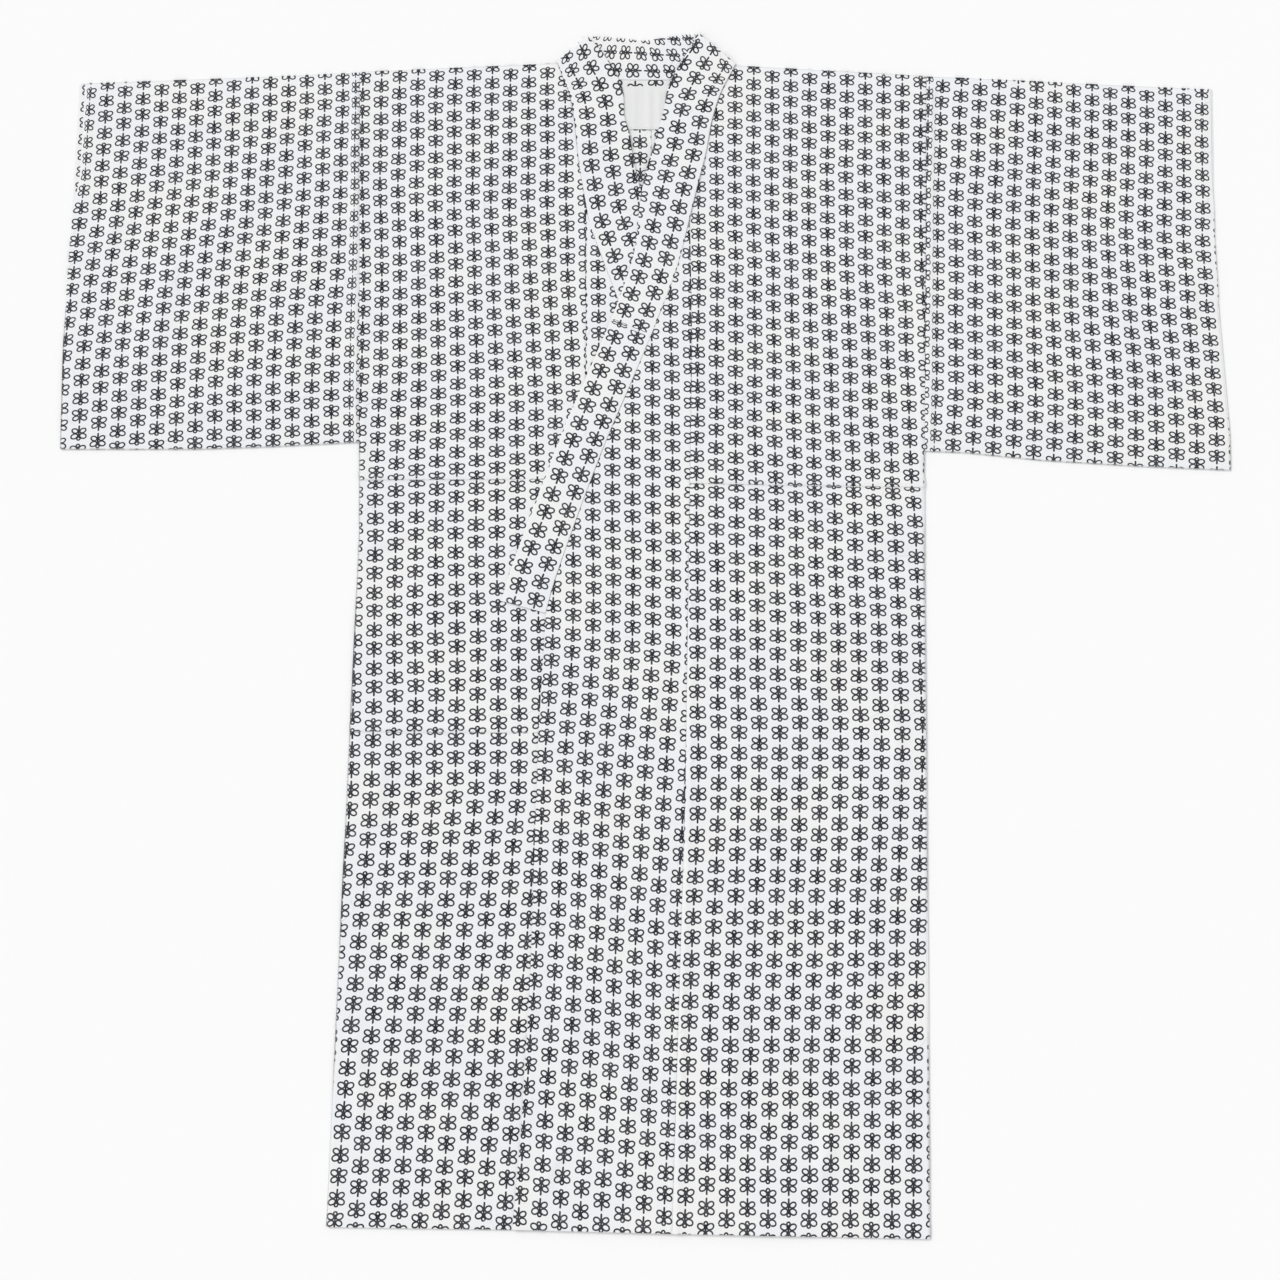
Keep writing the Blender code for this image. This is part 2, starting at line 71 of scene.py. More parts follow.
# Lengths
FRONT_LENGTH_LEFT = 1.3935
FRONT_LENGTH_RIGHT = 1.3965
UNDER_OKUMI_SHORTER = 0.002
COLLAR_END = 0.652
BACK_HEM_SHORTER = 0.004
SLEEVE_DROP_LEFT = 0.4476
SLEEVE_DROP_RIGHT = 0.4584
CENTRE_SEAM = 0.007
NECK_DIP = 0.0128
LINING_DROP = 0.072
LINING_SIDES = (-0.075, 0.07)

# The neck lining: the printed strip above its seam, its step at the seam, how it ripples, and
# the upright folds by the robe's middle with the drop where they start
LINING_STRIP = 0.0205
LINING_SEAM_STEP = 0.0004
LINING_SEAM_WIDTH = 0.0012
LINING_ROWS = 31
LINING_RIPPLE = 0.0003
LINING_RIPPLE_SIZE = 0.018
LINING_SEED = 5.0
LINING_FOLDS_FROM = 0.015
LINING_FOLDS_FADE = 0.02
Fold = namedtuple("Fold", "x width height")
LINING_FOLDS = (Fold(0.004, 0.006, 0.0011), Fold(-0.013, 0.004, 0.0006), Fold(0.016, 0.005, 0.0007))

# Fineness of the cloth's grid: its cells, its places beside a seam and the least gap between rows
CELL = 0.0056
BAND_CELL = 0.005
SEAM_MARKS = (0.0012, 0.0026, 0.0042, 0.006, 0.008, 0.0105)
LEAST_ROW_GAP = 0.0008

# The wall's share at a cut edge, and the turn from which an edge is drawn sharp
RIM_SHARE = 0.6
SHARP_ANGLE = math.radians(55)

# The soft step of a piece over the edge of what lies under it
STEP_MARGIN = 0.01
STEP_SLOPE = 0.08
OVERLAP_MARGIN = 0.075

# Lines on the robe, as pairs of drop and distance right of the centre line
SIDE_LEFT = ((0.0, -0.3425), (0.56, -0.344), (1.4, -0.384))
SIDE_RIGHT = ((0.0, 0.337), (0.46, 0.335), (0.56, 0.335), (0.9, 0.338), (1.41, 0.342))
WRIST_LEFT = ((0.0, -0.678), (0.18, -0.6885), (0.33, -0.699), (0.46, -0.7026))
WRIST_RIGHT = ((0.0, 0.6795), (0.2, 0.6825), (0.3, 0.689), (0.437, 0.7014), (0.485, 0.7026))
OKUMI_SEAM_LEFT = ((0.162, -0.0712), (0.4, -0.0714), (0.7, -0.068), (1.0, -0.062), (1.4, -0.05))
OKUMI_SEAM_RIGHT = (
    (0.178, 0.053), (0.324, 0.0558), (0.636, 0.051), (0.876, 0.0474), (1.272, 0.0354),
    (1.4, 0.0317),
)
FREE_EDGE_LEFT = ((COLLAR_END, 0.113), (0.804, 0.121), (1.092, 0.131), (1.272, 0.141), (1.4, 0.152))
FREE_EDGE_RIGHT = (
    (COLLAR_END, -0.1197), (0.804, -0.129), (1.092, -0.1386), (1.272, -0.1494),
    (1.4, -0.1608),
)

# How far a row of cloth rises above its drop at the panel's edges, as pairs of drop and rise
LEVEL = ((0.0, 0.0), (1.4, 0.0))
NECK_RISE_LEFT = ((0.0, 0.0076), (0.06, 0.003), (0.1, 0.0), (1.4, 0.0))
NECK_RISE_RIGHT = ((0.0, 0.005), (0.06, 0.0015), (0.09, 0.0), (1.4, 0.0))
SIDE_RISE_LEFT = ((0.0, -0.0028), (0.447, -0.001), (1.4, 0.005))
SIDE_RISE_RIGHT = ((0.0, -0.0078), (0.458, -0.005), (1.4, -0.0065))
FREE_RISE_RIGHT = ((0.0, 0.0), (0.65, 0.0), (1.4, 0.005))

# The collar's arms: where the seam runs, the band's width, its tilt in degrees above level
# from seam to free edge, and the height of its underside
Arm = namedtuple("Arm", "drop seam width tilt rest")
LEFT_ARM = (
    Arm(-0.008, -0.1055, 0.048, 41.0, ON_LINING),
    Arm(0.012, -0.098, 0.0566, 32.0, ON_LINING),
    Arm(0.025, -0.0925, 0.06, 22.5, ON_LINING),
    Arm(0.038, -0.089, 0.063, 12.6, ON_LINING),
    Arm(0.06, -0.0855, 0.0602, 4.8, ON_LINING),
    Arm(0.085, -0.0826, 0.064, 6.5, ON_LINING),
    Arm(0.109, -0.08, 0.065, 7.5, 0.002),
    Arm(0.149, -0.0735, 0.0668, 11.5, ON_BACK),
    Arm(0.162, -0.0712, 0.068, 13.5, ON_BACK),
    Arm(0.18, -0.068, 0.069, 16.0, ON_BACK),
    Arm(0.207, -0.059, 0.066, 20.0, ON_BACK),
    Arm(0.227, -0.0515, 0.062, 22.0, ON_BACK),
    Arm(0.3, -0.0235, 0.058, 21.5, ON_BACK),
    Arm(0.428, 0.026, 0.056, 21.5, ON_BACK),
    Arm(0.54, 0.07, 0.055, 21.5, ON_BACK),
    Arm(COLLAR_END, 0.113, 0.0555, 15.0, ON_BACK),
)
RIGHT_ARM = (
    Arm(-0.0055, 0.1075, 0.0565, 40.0, ON_LINING),
    Arm(0.011, 0.099, 0.058, 30.0, ON_LINING),
    Arm(0.022, 0.093, 0.06, 20.0, ON_LINING),
    Arm(0.034, 0.088, 0.062, 12.5, ON_LINING),
    Arm(0.06, 0.08, 0.059, 12.0, ON_LINING),
    Arm(0.1, 0.0725, 0.063, 8.0, 0.003),
    Arm(0.139, 0.0625, 0.0645, 12.5, ON_BAND),
    Arm(0.178, 0.053, 0.062, 16.5, ON_BAND),
    Arm(0.239, 0.0375, 0.0545, 20.0, ON_BAND),
    Arm(0.295, 0.0165, 0.052, 21.0, ON_BAND),
    Arm(0.366, -0.013, 0.052, 21.5, ON_BAND),
    Arm(0.446, -0.0475, 0.0525, 21.0, ON_FRONT),
    Arm(0.511, -0.0725, 0.053, 21.0, ON_FRONT),
    Arm(0.577, -0.0965, 0.0535, 20.5, ON_FRONT),
    Arm(0.618, -0.1105, 0.054, 18.0, ON_FRONT),
    Arm(COLLAR_END, -0.1197, 0.0555, 15.0, ON_FRONT),
)

# The collar at the back of the neck: its seam's place along the neck, and its free edge
Nape = namedtuple("Nape", "seam free rise")
NAPE = (
    Nape(-0.08, -0.0545, 0.0393),
    Nape(-0.054, -0.04, 0.0383),
    Nape(-0.027, -0.022, 0.0367),
    Nape(CENTRE_SEAM, -0.0035, 0.0345),
    Nape(0.034, 0.016, 0.037),
    Nape(0.06, 0.036, 0.04),
    Nape(0.085, 0.053, 0.042),
)

# Sleeve edges from armhole to wrist: share of the way out, and the drops of both edges
Cuff = namedtuple("Cuff", "share top bottom")
SLEEVE_LEFT = (
    Cuff(0.0, 0.0036, SLEEVE_DROP_LEFT),
    Cuff(0.3, 0.0082, 0.453),
    Cuff(0.55, 0.0115, 0.456),
    Cuff(1.0, 0.0168, 0.456),
)
SLEEVE_RIGHT = (
    Cuff(0.0, 0.0085, SLEEVE_DROP_RIGHT),
    Cuff(0.13, 0.01, 0.46),
    Cuff(0.38, 0.014, 0.4692),
    Cuff(0.7, 0.0195, 0.4764),
    Cuff(1.0, 0.024, 0.4812),
)

# The open part of the cuff, how far its front layer is set back, and where that ends
CUFF_OPENING = 0.27
CUFF_CLOSING = 0.01
CUFF_SET_BACK_LEFT = 0.007
CUFF_SET_BACK_RIGHT = 0.0021
CUFF_SET_TO = 0.125
CUFF_SET_FADE = 0.05
CUFF_SET_SHARE = 0.05

# Tucks across the fronts: the drop of the fold line, its height, where it fades, and the
# length of cloth that the fold hides
Tuck = namedtuple("Tuck", "drop height start end hidden")
WAIST_TUCK_LEFT = Tuck(0.491, 0.0011, -0.168, -0.13, 0.009)
LOWER_TUCK_LEFT = Tuck(0.795, 0.0009, -0.17, -0.134, 0.007)
WAIST_TUCK_RIGHT = Tuck(0.496, 0.0011, 1.0, 1.1, 0.01)
TUCK_SOFT_SIDE = 0.012
TUCK_SHARP_SIDE = 0.0012
TUCK_TOP = 0.004

# Soft ridges of the upper cloth: centre, drop, half length, half width, height and the turn of
# its length from the X axis in degrees. The solids have the first 14 as well, a fifth lower.
Ridge = namedtuple("Ridge", "x drop length width height turn")
RIDGES = tuple(Ridge(*row) for row in (
    (-0.48, 0.15, 0.15, 0.034, 0.002, 62),
    (-0.59, 0.3, 0.13, 0.03, 0.0024, 78),
    (-0.42, 0.35, 0.11, 0.032, 0.0018, 104),
    (0.455, 0.2, 0.16, 0.034, 0.0022, 118),
    (0.57, 0.33, 0.14, 0.031, 0.0025, 96),
    (0.62, 0.13, 0.09, 0.03, 0.0016, 84),
    (-0.27, 0.25, 0.19, 0.036, 0.0019, 82),
    (-0.255, 0.64, 0.12, 0.034, 0.0018, 96),
    (-0.28, 1.05, 0.23, 0.038, 0.0022, 86),
    (0.245, 0.3, 0.19, 0.036, 0.0019, 100),
    (0.205, 0.72, 0.17, 0.036, 0.002, 84),
    (0.262, 1.08, 0.24, 0.038, 0.0024, 93),
    (-0.06, 0.95, 0.21, 0.036, 0.0019, 88),
    (-0.02, 1.24, 0.12, 0.034, 0.0018, 99),
    (-0.365, 0.105, 0.06, 0.011, 0.0024, 38),
    (-0.392, 0.22, 0.075, 0.013, 0.0021, 52),
    (-0.64, 0.18, 0.08, 0.012, 0.0026, 84),
    (-0.54, 0.41, 0.07, 0.014, 0.0024, 12),
    (-0.52, 0.06, 0.09, 0.012, 0.0018, 8),
    (-0.63, 0.4, 0.045, 0.011, 0.0021, 66),
    (-0.455, 0.265, 0.05, 0.01, 0.0018, 130),
    (0.38, 0.12, 0.075, 0.013, 0.0024, 140),
    (0.372, 0.39, 0.06, 0.011, 0.0024, 74),
    (0.5, 0.42, 0.08, 0.014, 0.0026, 171),
    (0.655, 0.28, 0.09, 0.012, 0.0024, 93),
    (0.52, 0.075, 0.08, 0.012, 0.0021, 176),
    (0.59, 0.21, 0.05, 0.01, 0.0018, 60),
    (-0.18, 0.12, 0.08, 0.012, 0.0021, 70),
    (-0.315, 0.4, 0.06, 0.012, 0.0021, 108),
    (-0.2, 0.43, 0.055, 0.012, 0.0021, 160),
    (-0.3, 0.56, 0.075, 0.013, 0.0024, 20),
    (-0.215, 0.76, 0.05, 0.011, 0.0018, 118),
    (-0.32, 0.86, 0.09, 0.014, 0.0024, 84),
    (-0.225, 0.96, 0.07, 0.012, 0.0021, 74),
    (-0.345, 1.21, 0.11, 0.015, 0.0028, 95),
    (-0.24, 1.29, 0.09, 0.014, 0.0026, 80),
    (0.165, 0.13, 0.08, 0.013, 0.0021, 112),
    (0.3, 0.18, 0.06, 0.012, 0.0018, 62),
    (0.115, 0.42, 0.07, 0.012, 0.0021, 100),
    (0.29, 0.56, 0.06, 0.012, 0.0024, 160),
    (0.13, 0.64, 0.08, 0.013, 0.0021, 78),
    (0.3, 0.82, 0.1, 0.014, 0.0024, 88),
    (0.15, 0.96, 0.09, 0.013, 0.0024, 102),
    (0.105, 1.19, 0.11, 0.014, 0.0026, 86),
    (0.215, 1.3, 0.08, 0.014, 0.0032, 75),
    (0.31, 1.27, 0.07, 0.012, 0.0024, 99),
    (0.01, 0.76, 0.07, 0.012, 0.0021, 84),
    (-0.09, 1.13, 0.08, 0.013, 0.0024, 95),
    (-0.11, 1.31, 0.07, 0.013, 0.0026, 70),
    (0.015, 0.56, 0.06, 0.011, 0.0018, 108),
))
RIPPLE_SIZE = 0.045
RIPPLE_HEIGHT = 0.00034
RIPPLE_SEED = 3.7

# The share of a ridge that the back has too, where on the body, and how near the back's edges
# and the sleeves' folds the cloth lies calm
HIDDEN_SHARE = 0.45
HOLLOWS_LEFT = -0.085
HOLLOWS_RIGHT = 0.155
HOLLOWS_SLOPE = 0.03
CALM_SIDE = 0.03
CALM_TOP = 0.05
CALM_FOLD = 0.05
CALM_WRIST = 0.04

# Rolls beside the seams: widths, heights and where they fade. The body's side has a share of
# the armhole's roll.
SEAM_ROLL = 0.0105
OKUMI_ROLL = SEAM_ROLL * 0.6
ARMHOLE_HEIGHT = 0.0016
BODY_SHARE = 0.55
ARMHOLE_END = 0.01
ARMHOLE_FADE = 0.03
OKUMI_HEIGHT = 0.001
OKUMI_LOW_HEIGHT = 0.0004
OKUMI_ROLL_FROM = 0.2
OKUMI_ROLL_FADE = 0.1

# The body narrows into its side fold, the overlap starts below its tip, and the centre-back
# seam's allowance lifts one panel
SIDE_TUCK = 0.004
OKUMI_TIP = 0.012
ALLOWANCE = 0.012
ALLOWANCE_STEP = 0.0005

# Turned hems: widths, the height of the step and the width of its slope
HEM = 0.016
FREE_HEM = HEM * 0.8
FREE_HEM_FROM = 0.01
WRIST_HEM = HEM * 0.7
HEM_STEP = 0.0004
HEM_EDGE = 0.001
STEP_WIDTH = 2 * HEM_EDGE

# The print: the size of a figure's cell, and how far apart the rows really come at each drop,
# where the pulled cloth and the slant of the photo's view make them closer towards the top
PITCH = 0.0246
ROW_PITCH = ((0.0, 0.0194), (0.38, 0.0204), (0.65, 0.0226), (0.91, 0.0242), (1.31, 0.0264))

# A piece's print: the line it is measured from, how its columns lean as pairs of drop and shift,
# how far apart they come, how its rows fall to the right, where its first column starts in
# cells, and the seed of its waves
Print = namedtuple("Print", "middle lean across slope phase seed")
BODY_ACROSS = ((0.0, 0.0219), (0.25, 0.0223), (0.52, 0.0238), (0.78, 0.0246), (1.31, 0.0251))
OKUMI_ACROSS = ((0.0, 0.0228), (0.75, 0.0236), (1.31, 0.0246))
PRINT_LEFT = Print(
    -0.2466,
    ((0.0, 0.0), (0.684, 0.0), (0.858, -0.0029), (0.975, -0.0116), (1.105, -0.0233), (1.355, -0.0434)),
    BODY_ACROSS,
    ((0.0, -0.04), (0.25, -0.05), (0.52, -0.04), (0.78, -0.018), (0.95, 0.0), (1.2, 0.018)),
    0.662, 11.0,
)
PRINT_RIGHT = Print(
    0.197, ((0.0, 0.0), (0.25, 0.0), (0.65, 0.01), (0.78, 0.013), (0.91, 0.0105), (1.4, -0.001)),
    BODY_ACROSS, ((0.0, 0.036), (0.25, 0.056), (0.52, 0.042), (0.78, 0.02), (0.95, 0.0), (1.4, 0.0)),
    0.52, 12.0,
)
PRINT_OKUMI_LEFT = Print(0.0, LEVEL, OKUMI_ACROSS, LEVEL, 0.0, 13.0)
PRINT_OKUMI_RIGHT = Print(
    -0.0246, ((0.0, 0.0), (0.684, 0.0), (0.948, -0.0135), (1.355, -0.036)),
    OKUMI_ACROSS, ((0.0, 0.05), (0.76, 0.059), (1.0, 0.063), (1.33, 0.083)),
    0.133, 14.0,
)
PRINT_SLEEVE_LEFT = Print(0.0, ((0.0, 0.0), (0.46, -0.01)), ((0.0, 0.0216), (0.46, 0.0219)),
                          ((0.0, -0.06), (0.46, -0.05)), -0.15, 15.0)
PRINT_SLEEVE_RIGHT = Print(0.0, ((0.0, 0.0), (0.48, -0.013)), ((0.0, 0.0223), (0.46, 0.0228)),
                           ((0.0, 0.096), (0.46, 0.068)), 0.25, 16.0)

# The print on the collar, at the back of the neck and down its arms: how far apart its columns
# and its rows come, and where the first column starts in cells
BandPrint = namedtuple("BandPrint", "across along phase")
NAPE_PRINT = BandPrint(0.0213, 0.02, -0.04)
ARM_PRINT = BandPrint(0.0245, 0.0235, -0.092)
ARM_PRINT_FROM = 0.1
ARM_PRINT_ROWS_FROM = 0.7

# How the print wavers with the cloth: the size of a wave and how far it moves a figure
Waver = namedtuple("Waver", "size move")
WAVERS = (
    Waver(0.3, 0.0045),
    Waver(0.085, 0.0016),
)
SECOND_SEED = 9.3
BAND_SEED = 31.0

# The sleeve's cloth that is taken up in the roll beside the armhole
TAKEN_UP = 0.009
TAKEN_UP_WIDTH = 0.014

PART_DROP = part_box("body_left")[0].y + FRONT_LENGTH_LEFT


def at(line, position):
    """Values of a line of (position, value) pairs, straight between and beyond its points."""
    places, values = np.array(line, float).T
    position = np.asarray(position, float)
    inner = np.interp(position, places, values)
    first = (values[1] - values[0]) / (places[1] - places[0])
    last = (values[-1] - values[-2]) / (places[-1] - places[-2])
    low = values[0] + (position - places[0]) * first
    high = values[-1] + (position - places[-1]) * last
    return np.where(position < places[0], low, np.where(position > places[-1], high, inner))


def fall(distance, width):
    """One up to no distance, then a soft slope to nothing over the width."""
    share = np.clip(np.asarray(distance, float) / width, 0.0, 1.0)
    return 1.0 - share * share * (3.0 - 2.0 * share)


def inside(distance, width):
    """Nothing at an edge, then straight up to one at the width."""
    return np.clip(distance / width, 0.0, 1.0)


def roll(distance, width):
    """A soft round ridge beside a seam, nothing at the seam itself and past its width."""
    return np.sin(math.pi * np.clip(np.asarray(distance, float) / width, 0.0, 1.0))


def moved(line, shift):
    return tuple((position, value + shift) for position, value in line)


def joined(upper, lower, change):
    """One line that follows the upper one as far as a drop, and the lower one from there."""
    above = tuple(pair for pair in upper if pair[0] < change)
    return above + tuple(pair for pair in lower if pair[0] >= change)


def arm_free(arm, side):
    tilt = math.radians(arm.tilt)
    return arm.seam + side * arm.width * math.cos(tilt), -arm.drop + arm.width * math.sin(tilt)


def free_line(arms, side):
    return tuple((-y, x) for x, y in (arm_free(arm, side) for arm in arms))


def seam_line(arms):
    return tuple((arm.drop, arm.seam) for arm in arms)


LEFT_ARM_SEAM = seam_line(LEFT_ARM)
RIGHT_ARM_SEAM = seam_line(RIGHT_ARM)
LEFT_ARM_FREE = free_line(LEFT_ARM, 1)
LEFT_TIP = OKUMI_SEAM_LEFT[0][0]
RIGHT_TIP = OKUMI_SEAM_RIGHT[0][0]
INNER_LEFT = moved(joined(LEFT_ARM_SEAM, OKUMI_SEAM_LEFT, LEFT_TIP), -EDGE_SHIFT)
INNER_RIGHT = moved(joined(RIGHT_ARM_SEAM, OKUMI_SEAM_RIGHT, RIGHT_TIP), EDGE_SHIFT)
UNDER_EDGE = joined(LEFT_ARM_SEAM, FREE_EDGE_LEFT, COLLAR_END)
UPPER_EDGE = joined(RIGHT_ARM_SEAM, FREE_EDGE_RIGHT, COLLAR_END)


def neck_drop(x):
    """The drop of the back neck seam, which dips between the neck's two ends."""
    x = np.asarray(x, float)
    result = np.zeros_like(x)
    for inner, rise, chosen in (
        (INNER_LEFT, NECK_RISE_LEFT, x < CENTRE_SEAM),
        (INNER_RIGHT, NECK_RISE_RIGHT, x >= CENTRE_SEAM),
    ):
        end_drop = FOLD_REACH - float(at(rise, FOLD_REACH))
        half = abs(float(at(inner, end_drop)) - CENTRE_SEAM)
        share = np.minimum(np.abs(x - CENTRE_SEAM) / half, 1.0)
        result = np.where(chosen, end_drop + (NECK_DIP - end_drop) * (1.0 - share ** 4), result)
    return result


def ridge_height(x, drop):
    """How far the soft ridges lift the upper cloth at a point."""
    total = np.zeros(np.broadcast(x, drop).shape)
    for ridge in RIDGES:
        cos, sin = math.cos(math.radians(ridge.turn)), math.sin(math.radians(ridge.turn))
        right, up = x - ridge.x, ridge.drop - drop
        along = fall(np.abs(right * cos + up * sin), ridge.length)
        across = fall(np.abs(up * cos - right * sin), ridge.width)
        total = total + ridge.height * along * across
    return total


def noise_at(x, y, size, seed):
    """Smooth noise from -1 to 1 for each point of two arrays."""
    flat = [
        noise.noise(Vector((px / size, py / size, seed)))
        for px, py in zip(np.ravel(x), np.ravel(y))
    ]
    return np.array(flat).reshape(np.shape(x))


def tuck_height(tuck, x, drop):
    """A tuck rises softly from above and drops sharply at its fold line."""
    above = tuck.drop - drop
    profile = np.where(
        above >= 0,
        fall(above - TUCK_TOP, TUCK_SOFT_SIDE),
        fall(-above, TUCK_SHARP_SIDE),
    )
    return tuck.height * profile * fall(x - tuck.start, tuck.end - tuck.start)


def hidden_length(tucks, x, drop):
    """How much cloth the tucks above a point have taken up."""
    total = np.zeros(np.broadcast(x, drop).shape)
    for tuck in tucks:
        total = total + tuck.hidden * (1 - fall(drop - tuck.drop, TUCK_SHARP_SIDE))
    return total


def under_overlap(x, drop):
    """One below the upper front and for a margin beside it, then a soft slope to nothing."""
    return fall(at(UPPER_EDGE, drop) - OVERLAP_MARGIN - x, STEP_SLOPE / 2)


def left_front_rest(x, drop):
    lift = tuck_height(WAIST_TUCK_LEFT, x, drop) + tuck_height(LOWER_TUCK_LEFT, x, drop)
    return ON_BACK + lift + soft_height(x, drop) * (1.0 - under_overlap(x, drop))


def upper_front_rest(x, drop):
    """The upper front steps softly up on to the under front and on to the collar's left arm."""
    edge = at(UNDER_EDGE, drop)
    on_front = ON_BACK + (ON_FRONT - ON_BACK) * fall(x - edge - STEP_MARGIN, STEP_SLOPE)
    over_band = (
        fall(x - at(LEFT_ARM_FREE, drop) - STEP_MARGIN, STEP_SLOPE)
        * fall(at(LEFT_ARM_SEAM, drop) - STEP_MARGIN - x, STEP_SLOPE)
        * fall(drop - COLLAR_END - STEP_MARGIN, STEP_SLOPE)
    )
    on_band = ON_BACK + (ON_BAND - ON_BACK) * over_band
    return np.maximum(on_front, on_band)


def soft_height(x, drop):
    ripple = RIPPLE_HEIGHT * (1 + noise_at(x, -drop, RIPPLE_SIZE, RIPPLE_SEED))
    return ridge_height(x, drop) + ripple


def hollows(x, drop, side):
    """How far the back's cloth stands off the floor below the front's ridges, beside the overlap."""
    ridges = HIDDEN_SHARE * ridge_height(x, drop)
    if side > 0:
        return ridges * (1.0 - fall(x - HOLLOWS_RIGHT, HOLLOWS_SLOPE))
    beside_band = 1.0 - fall(HOLLOWS_LEFT - x, HOLLOWS_SLOPE)
    return ridges * beside_band * (1.0 - under_overlap(x, drop))


def right_front_rest(x, drop):
    return upper_front_rest(x, drop) + tuck_height(WAIST_TUCK_RIGHT, x, drop) + soft_height(x, drop)


def right_okumi_rest(x, drop):
    return upper_front_rest(x, drop) + soft_height(x, drop)


def left_okumi_rest(x, drop):
    return np.full_like(x, ON_BACK)


def stations(start, end, cell, extra=()):
    """Places from start to end no further apart than the cell, with the extra ones among them."""
    marks = sorted({start, end} | {place for place in extra if start < place < end})
    places = []
    for low, high in zip(marks, marks[1:]):
        count = max(1, math.ceil((high - low) / cell))
        places += [low + (high - low) * index / count for index in range(count)]
    return np.array(places + [end])


def tuck_stations(tucks):
    offsets = (
        -TUCK_TOP - TUCK_SOFT_SIDE, -TUCK_TOP - TUCK_SOFT_SIDE / 2, -TUCK_TOP, -TUCK_TOP / 2,
        0.0, TUCK_SHARP_SIDE / 2, TUCK_SHARP_SIDE, TUCK_TOP,
    )
    return [tuck.drop + offset for tuck in tucks for offset in offsets]


def hem_stations(end):
    return [end - HEM - HEM_EDGE, end - HEM + HEM_EDGE, end - 3 * HEM_EDGE, end - HEM_EDGE]


def hem_lift(drop, length):
    """The small step up on to the turned-up hem."""
    return HEM_STEP * (1 - fall(drop - (length - HEM) + HEM_EDGE, STEP_WIDTH))


def edge_shares(width):
    """Shares across a panel, closer together beside the seams."""
    near = [distance / width for distance in SEAM_MARKS]
    return stations(0.0, 1.0, CELL / width, near + [1 - share for share in near])


class Sheet:
    """Points, cloth coordinates and faces of one piece while it is put together."""

    def __init__(self):
        self.points = []
        self.cloth = []
        self.faces = []

    def add(self, x, y, z, u, v):
        """Adds a grid of points and returns the grid of their numbers."""
        x, y, z, u, v = np.broadcast_arrays(x, y, z, u, v)
        first = len(self.points)
        self.points += list(zip(x.ravel(), y.ravel(), z.ravel()))
        self.cloth += list(zip(u.ravel(), v.ravel()))
        return np.arange(first, first + x.size).reshape(x.shape)

    def join(self, grid):
        """Adds the faces between a grid's neighbouring rows and columns."""
        corners = np.stack([grid[:-1, :-1], grid[:-1, 1:], grid[1:, 1:], grid[1:, :-1]], axis=-1)
        self.faces += [tuple(int(index) for index in face) for face in corners.reshape(-1, 4)]

    def fold(self, upper, lower, outward):
        """Rounded rows between an upper and a lower row, bulging outward, and their faces."""
        rows = [upper]
        for step in range(1, FOLD_STEPS):
            angle = math.pi * step / FOLD_STEPS
            points, cloth = [], []
            for above, below in zip(upper, lower):
                high, low = Vector(self.points[above]), Vector(self.points[below])
                radius = (high.z - low.z) / 2
                middle = (high + low) / 2
                points.append(middle + Vector(outward) * radius * math.sin(angle)
                              + Vector((0, 0, radius * math.cos(angle))))
                share = step / FOLD_STEPS
                pairs = zip(self.cloth[above], self.cloth[below])
                cloth.append([a * (1 - share) + b * share for a, b in pairs])
            first = len(self.points)
            self.points += [tuple(point) for point in points]
            self.cloth += [tuple(pair) for pair in cloth]
            rows.append(np.arange(first, first + len(points)))
        rows.append(lower)
        self.join(np.array(rows))


def put(name, data):
    """Puts a new object in the scene."""
    made = bpy.data.objects.new(name, data)
    scene.collection.objects.link(made)
    return made


def build(name, sheet, material, wall=CLOTH):
    """Makes the piece's object: a thin wall round its surface, thinner at its cut edges."""
    data = bpy.data.meshes.new(name)
    points = [(x, y + PART_DROP, z) for x, y, z in sheet.points]
    data.from_pydata(points, [], sheet.faces)
    layer = data.uv_layers.new(name="cloth")
    cloth = np.array(sheet.cloth)
    corners = np.zeros(len(data.loops), int)
    data.loops.foreach_get("vertex_index", corners)
    layer.data.foreach_set("uv", cloth[corners].ravel())
    data.materials.append(material)
    piece = put(name, data)
    if wall:
        edge = piece.vertex_groups.new(name="wall")
        uses = {}
        for polygon in data.polygons:
            for key in polygon.edge_keys:
                uses[key] = uses.get(key, 0) + 1
        rim = {index for key, count in uses.items() if count == 1 for index in key}
        edge.add([index for index in range(len(points)) if index not in rim], 1.0, "REPLACE")
        edge.add(list(rim), RIM_SHARE, "REPLACE")
        thickness = piece.modifiers.new("wall", "SOLIDIFY")
        thickness.thickness = wall
        thickness.offset = 0.0
        thickness.vertex_group = "wall"
        graph = bpy.context.evaluated_depsgraph_get()
        solid = bpy.data.meshes.new_from_object(piece.evaluated_get(graph))
        piece.modifiers.clear()
        piece.data = solid
        bpy.data.meshes.remove(data)
    piece.data.shade_smooth()
    piece.data.set_sharp_from_angle(angle=SHARP_ANGLE)
    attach(piece, "root")
    return piece


ROW_DROPS = np.linspace(0.0, 1.5, 601)
ROW_COUNTS = np.concatenate([[0.0], np.cumsum(np.diff(ROW_DROPS) / at(ROW_PITCH, ROW_DROPS[1:]))])


def rows_down(drop):
    """How many rows of the print lie between the shoulder fold and a drop, less than 0 behind."""
    return np.sign(drop) * np.interp(np.abs(drop), ROW_DROPS, ROW_COUNTS)


def warp(u, v, seed):
    """Pulls in the cloth, which bend the print's rows and columns a little."""
    u, v = np.broadcast_arrays(u, v)
    moved_u, moved_v = np.array(u), np.array(v)
    for waver in WAVERS:
        moved_u += waver.move * noise_at(u, v, waver.size, seed)
        moved_v += waver.move * noise_at(u, v, waver.size, seed + SECOND_SEED)
    return moved_u, moved_v


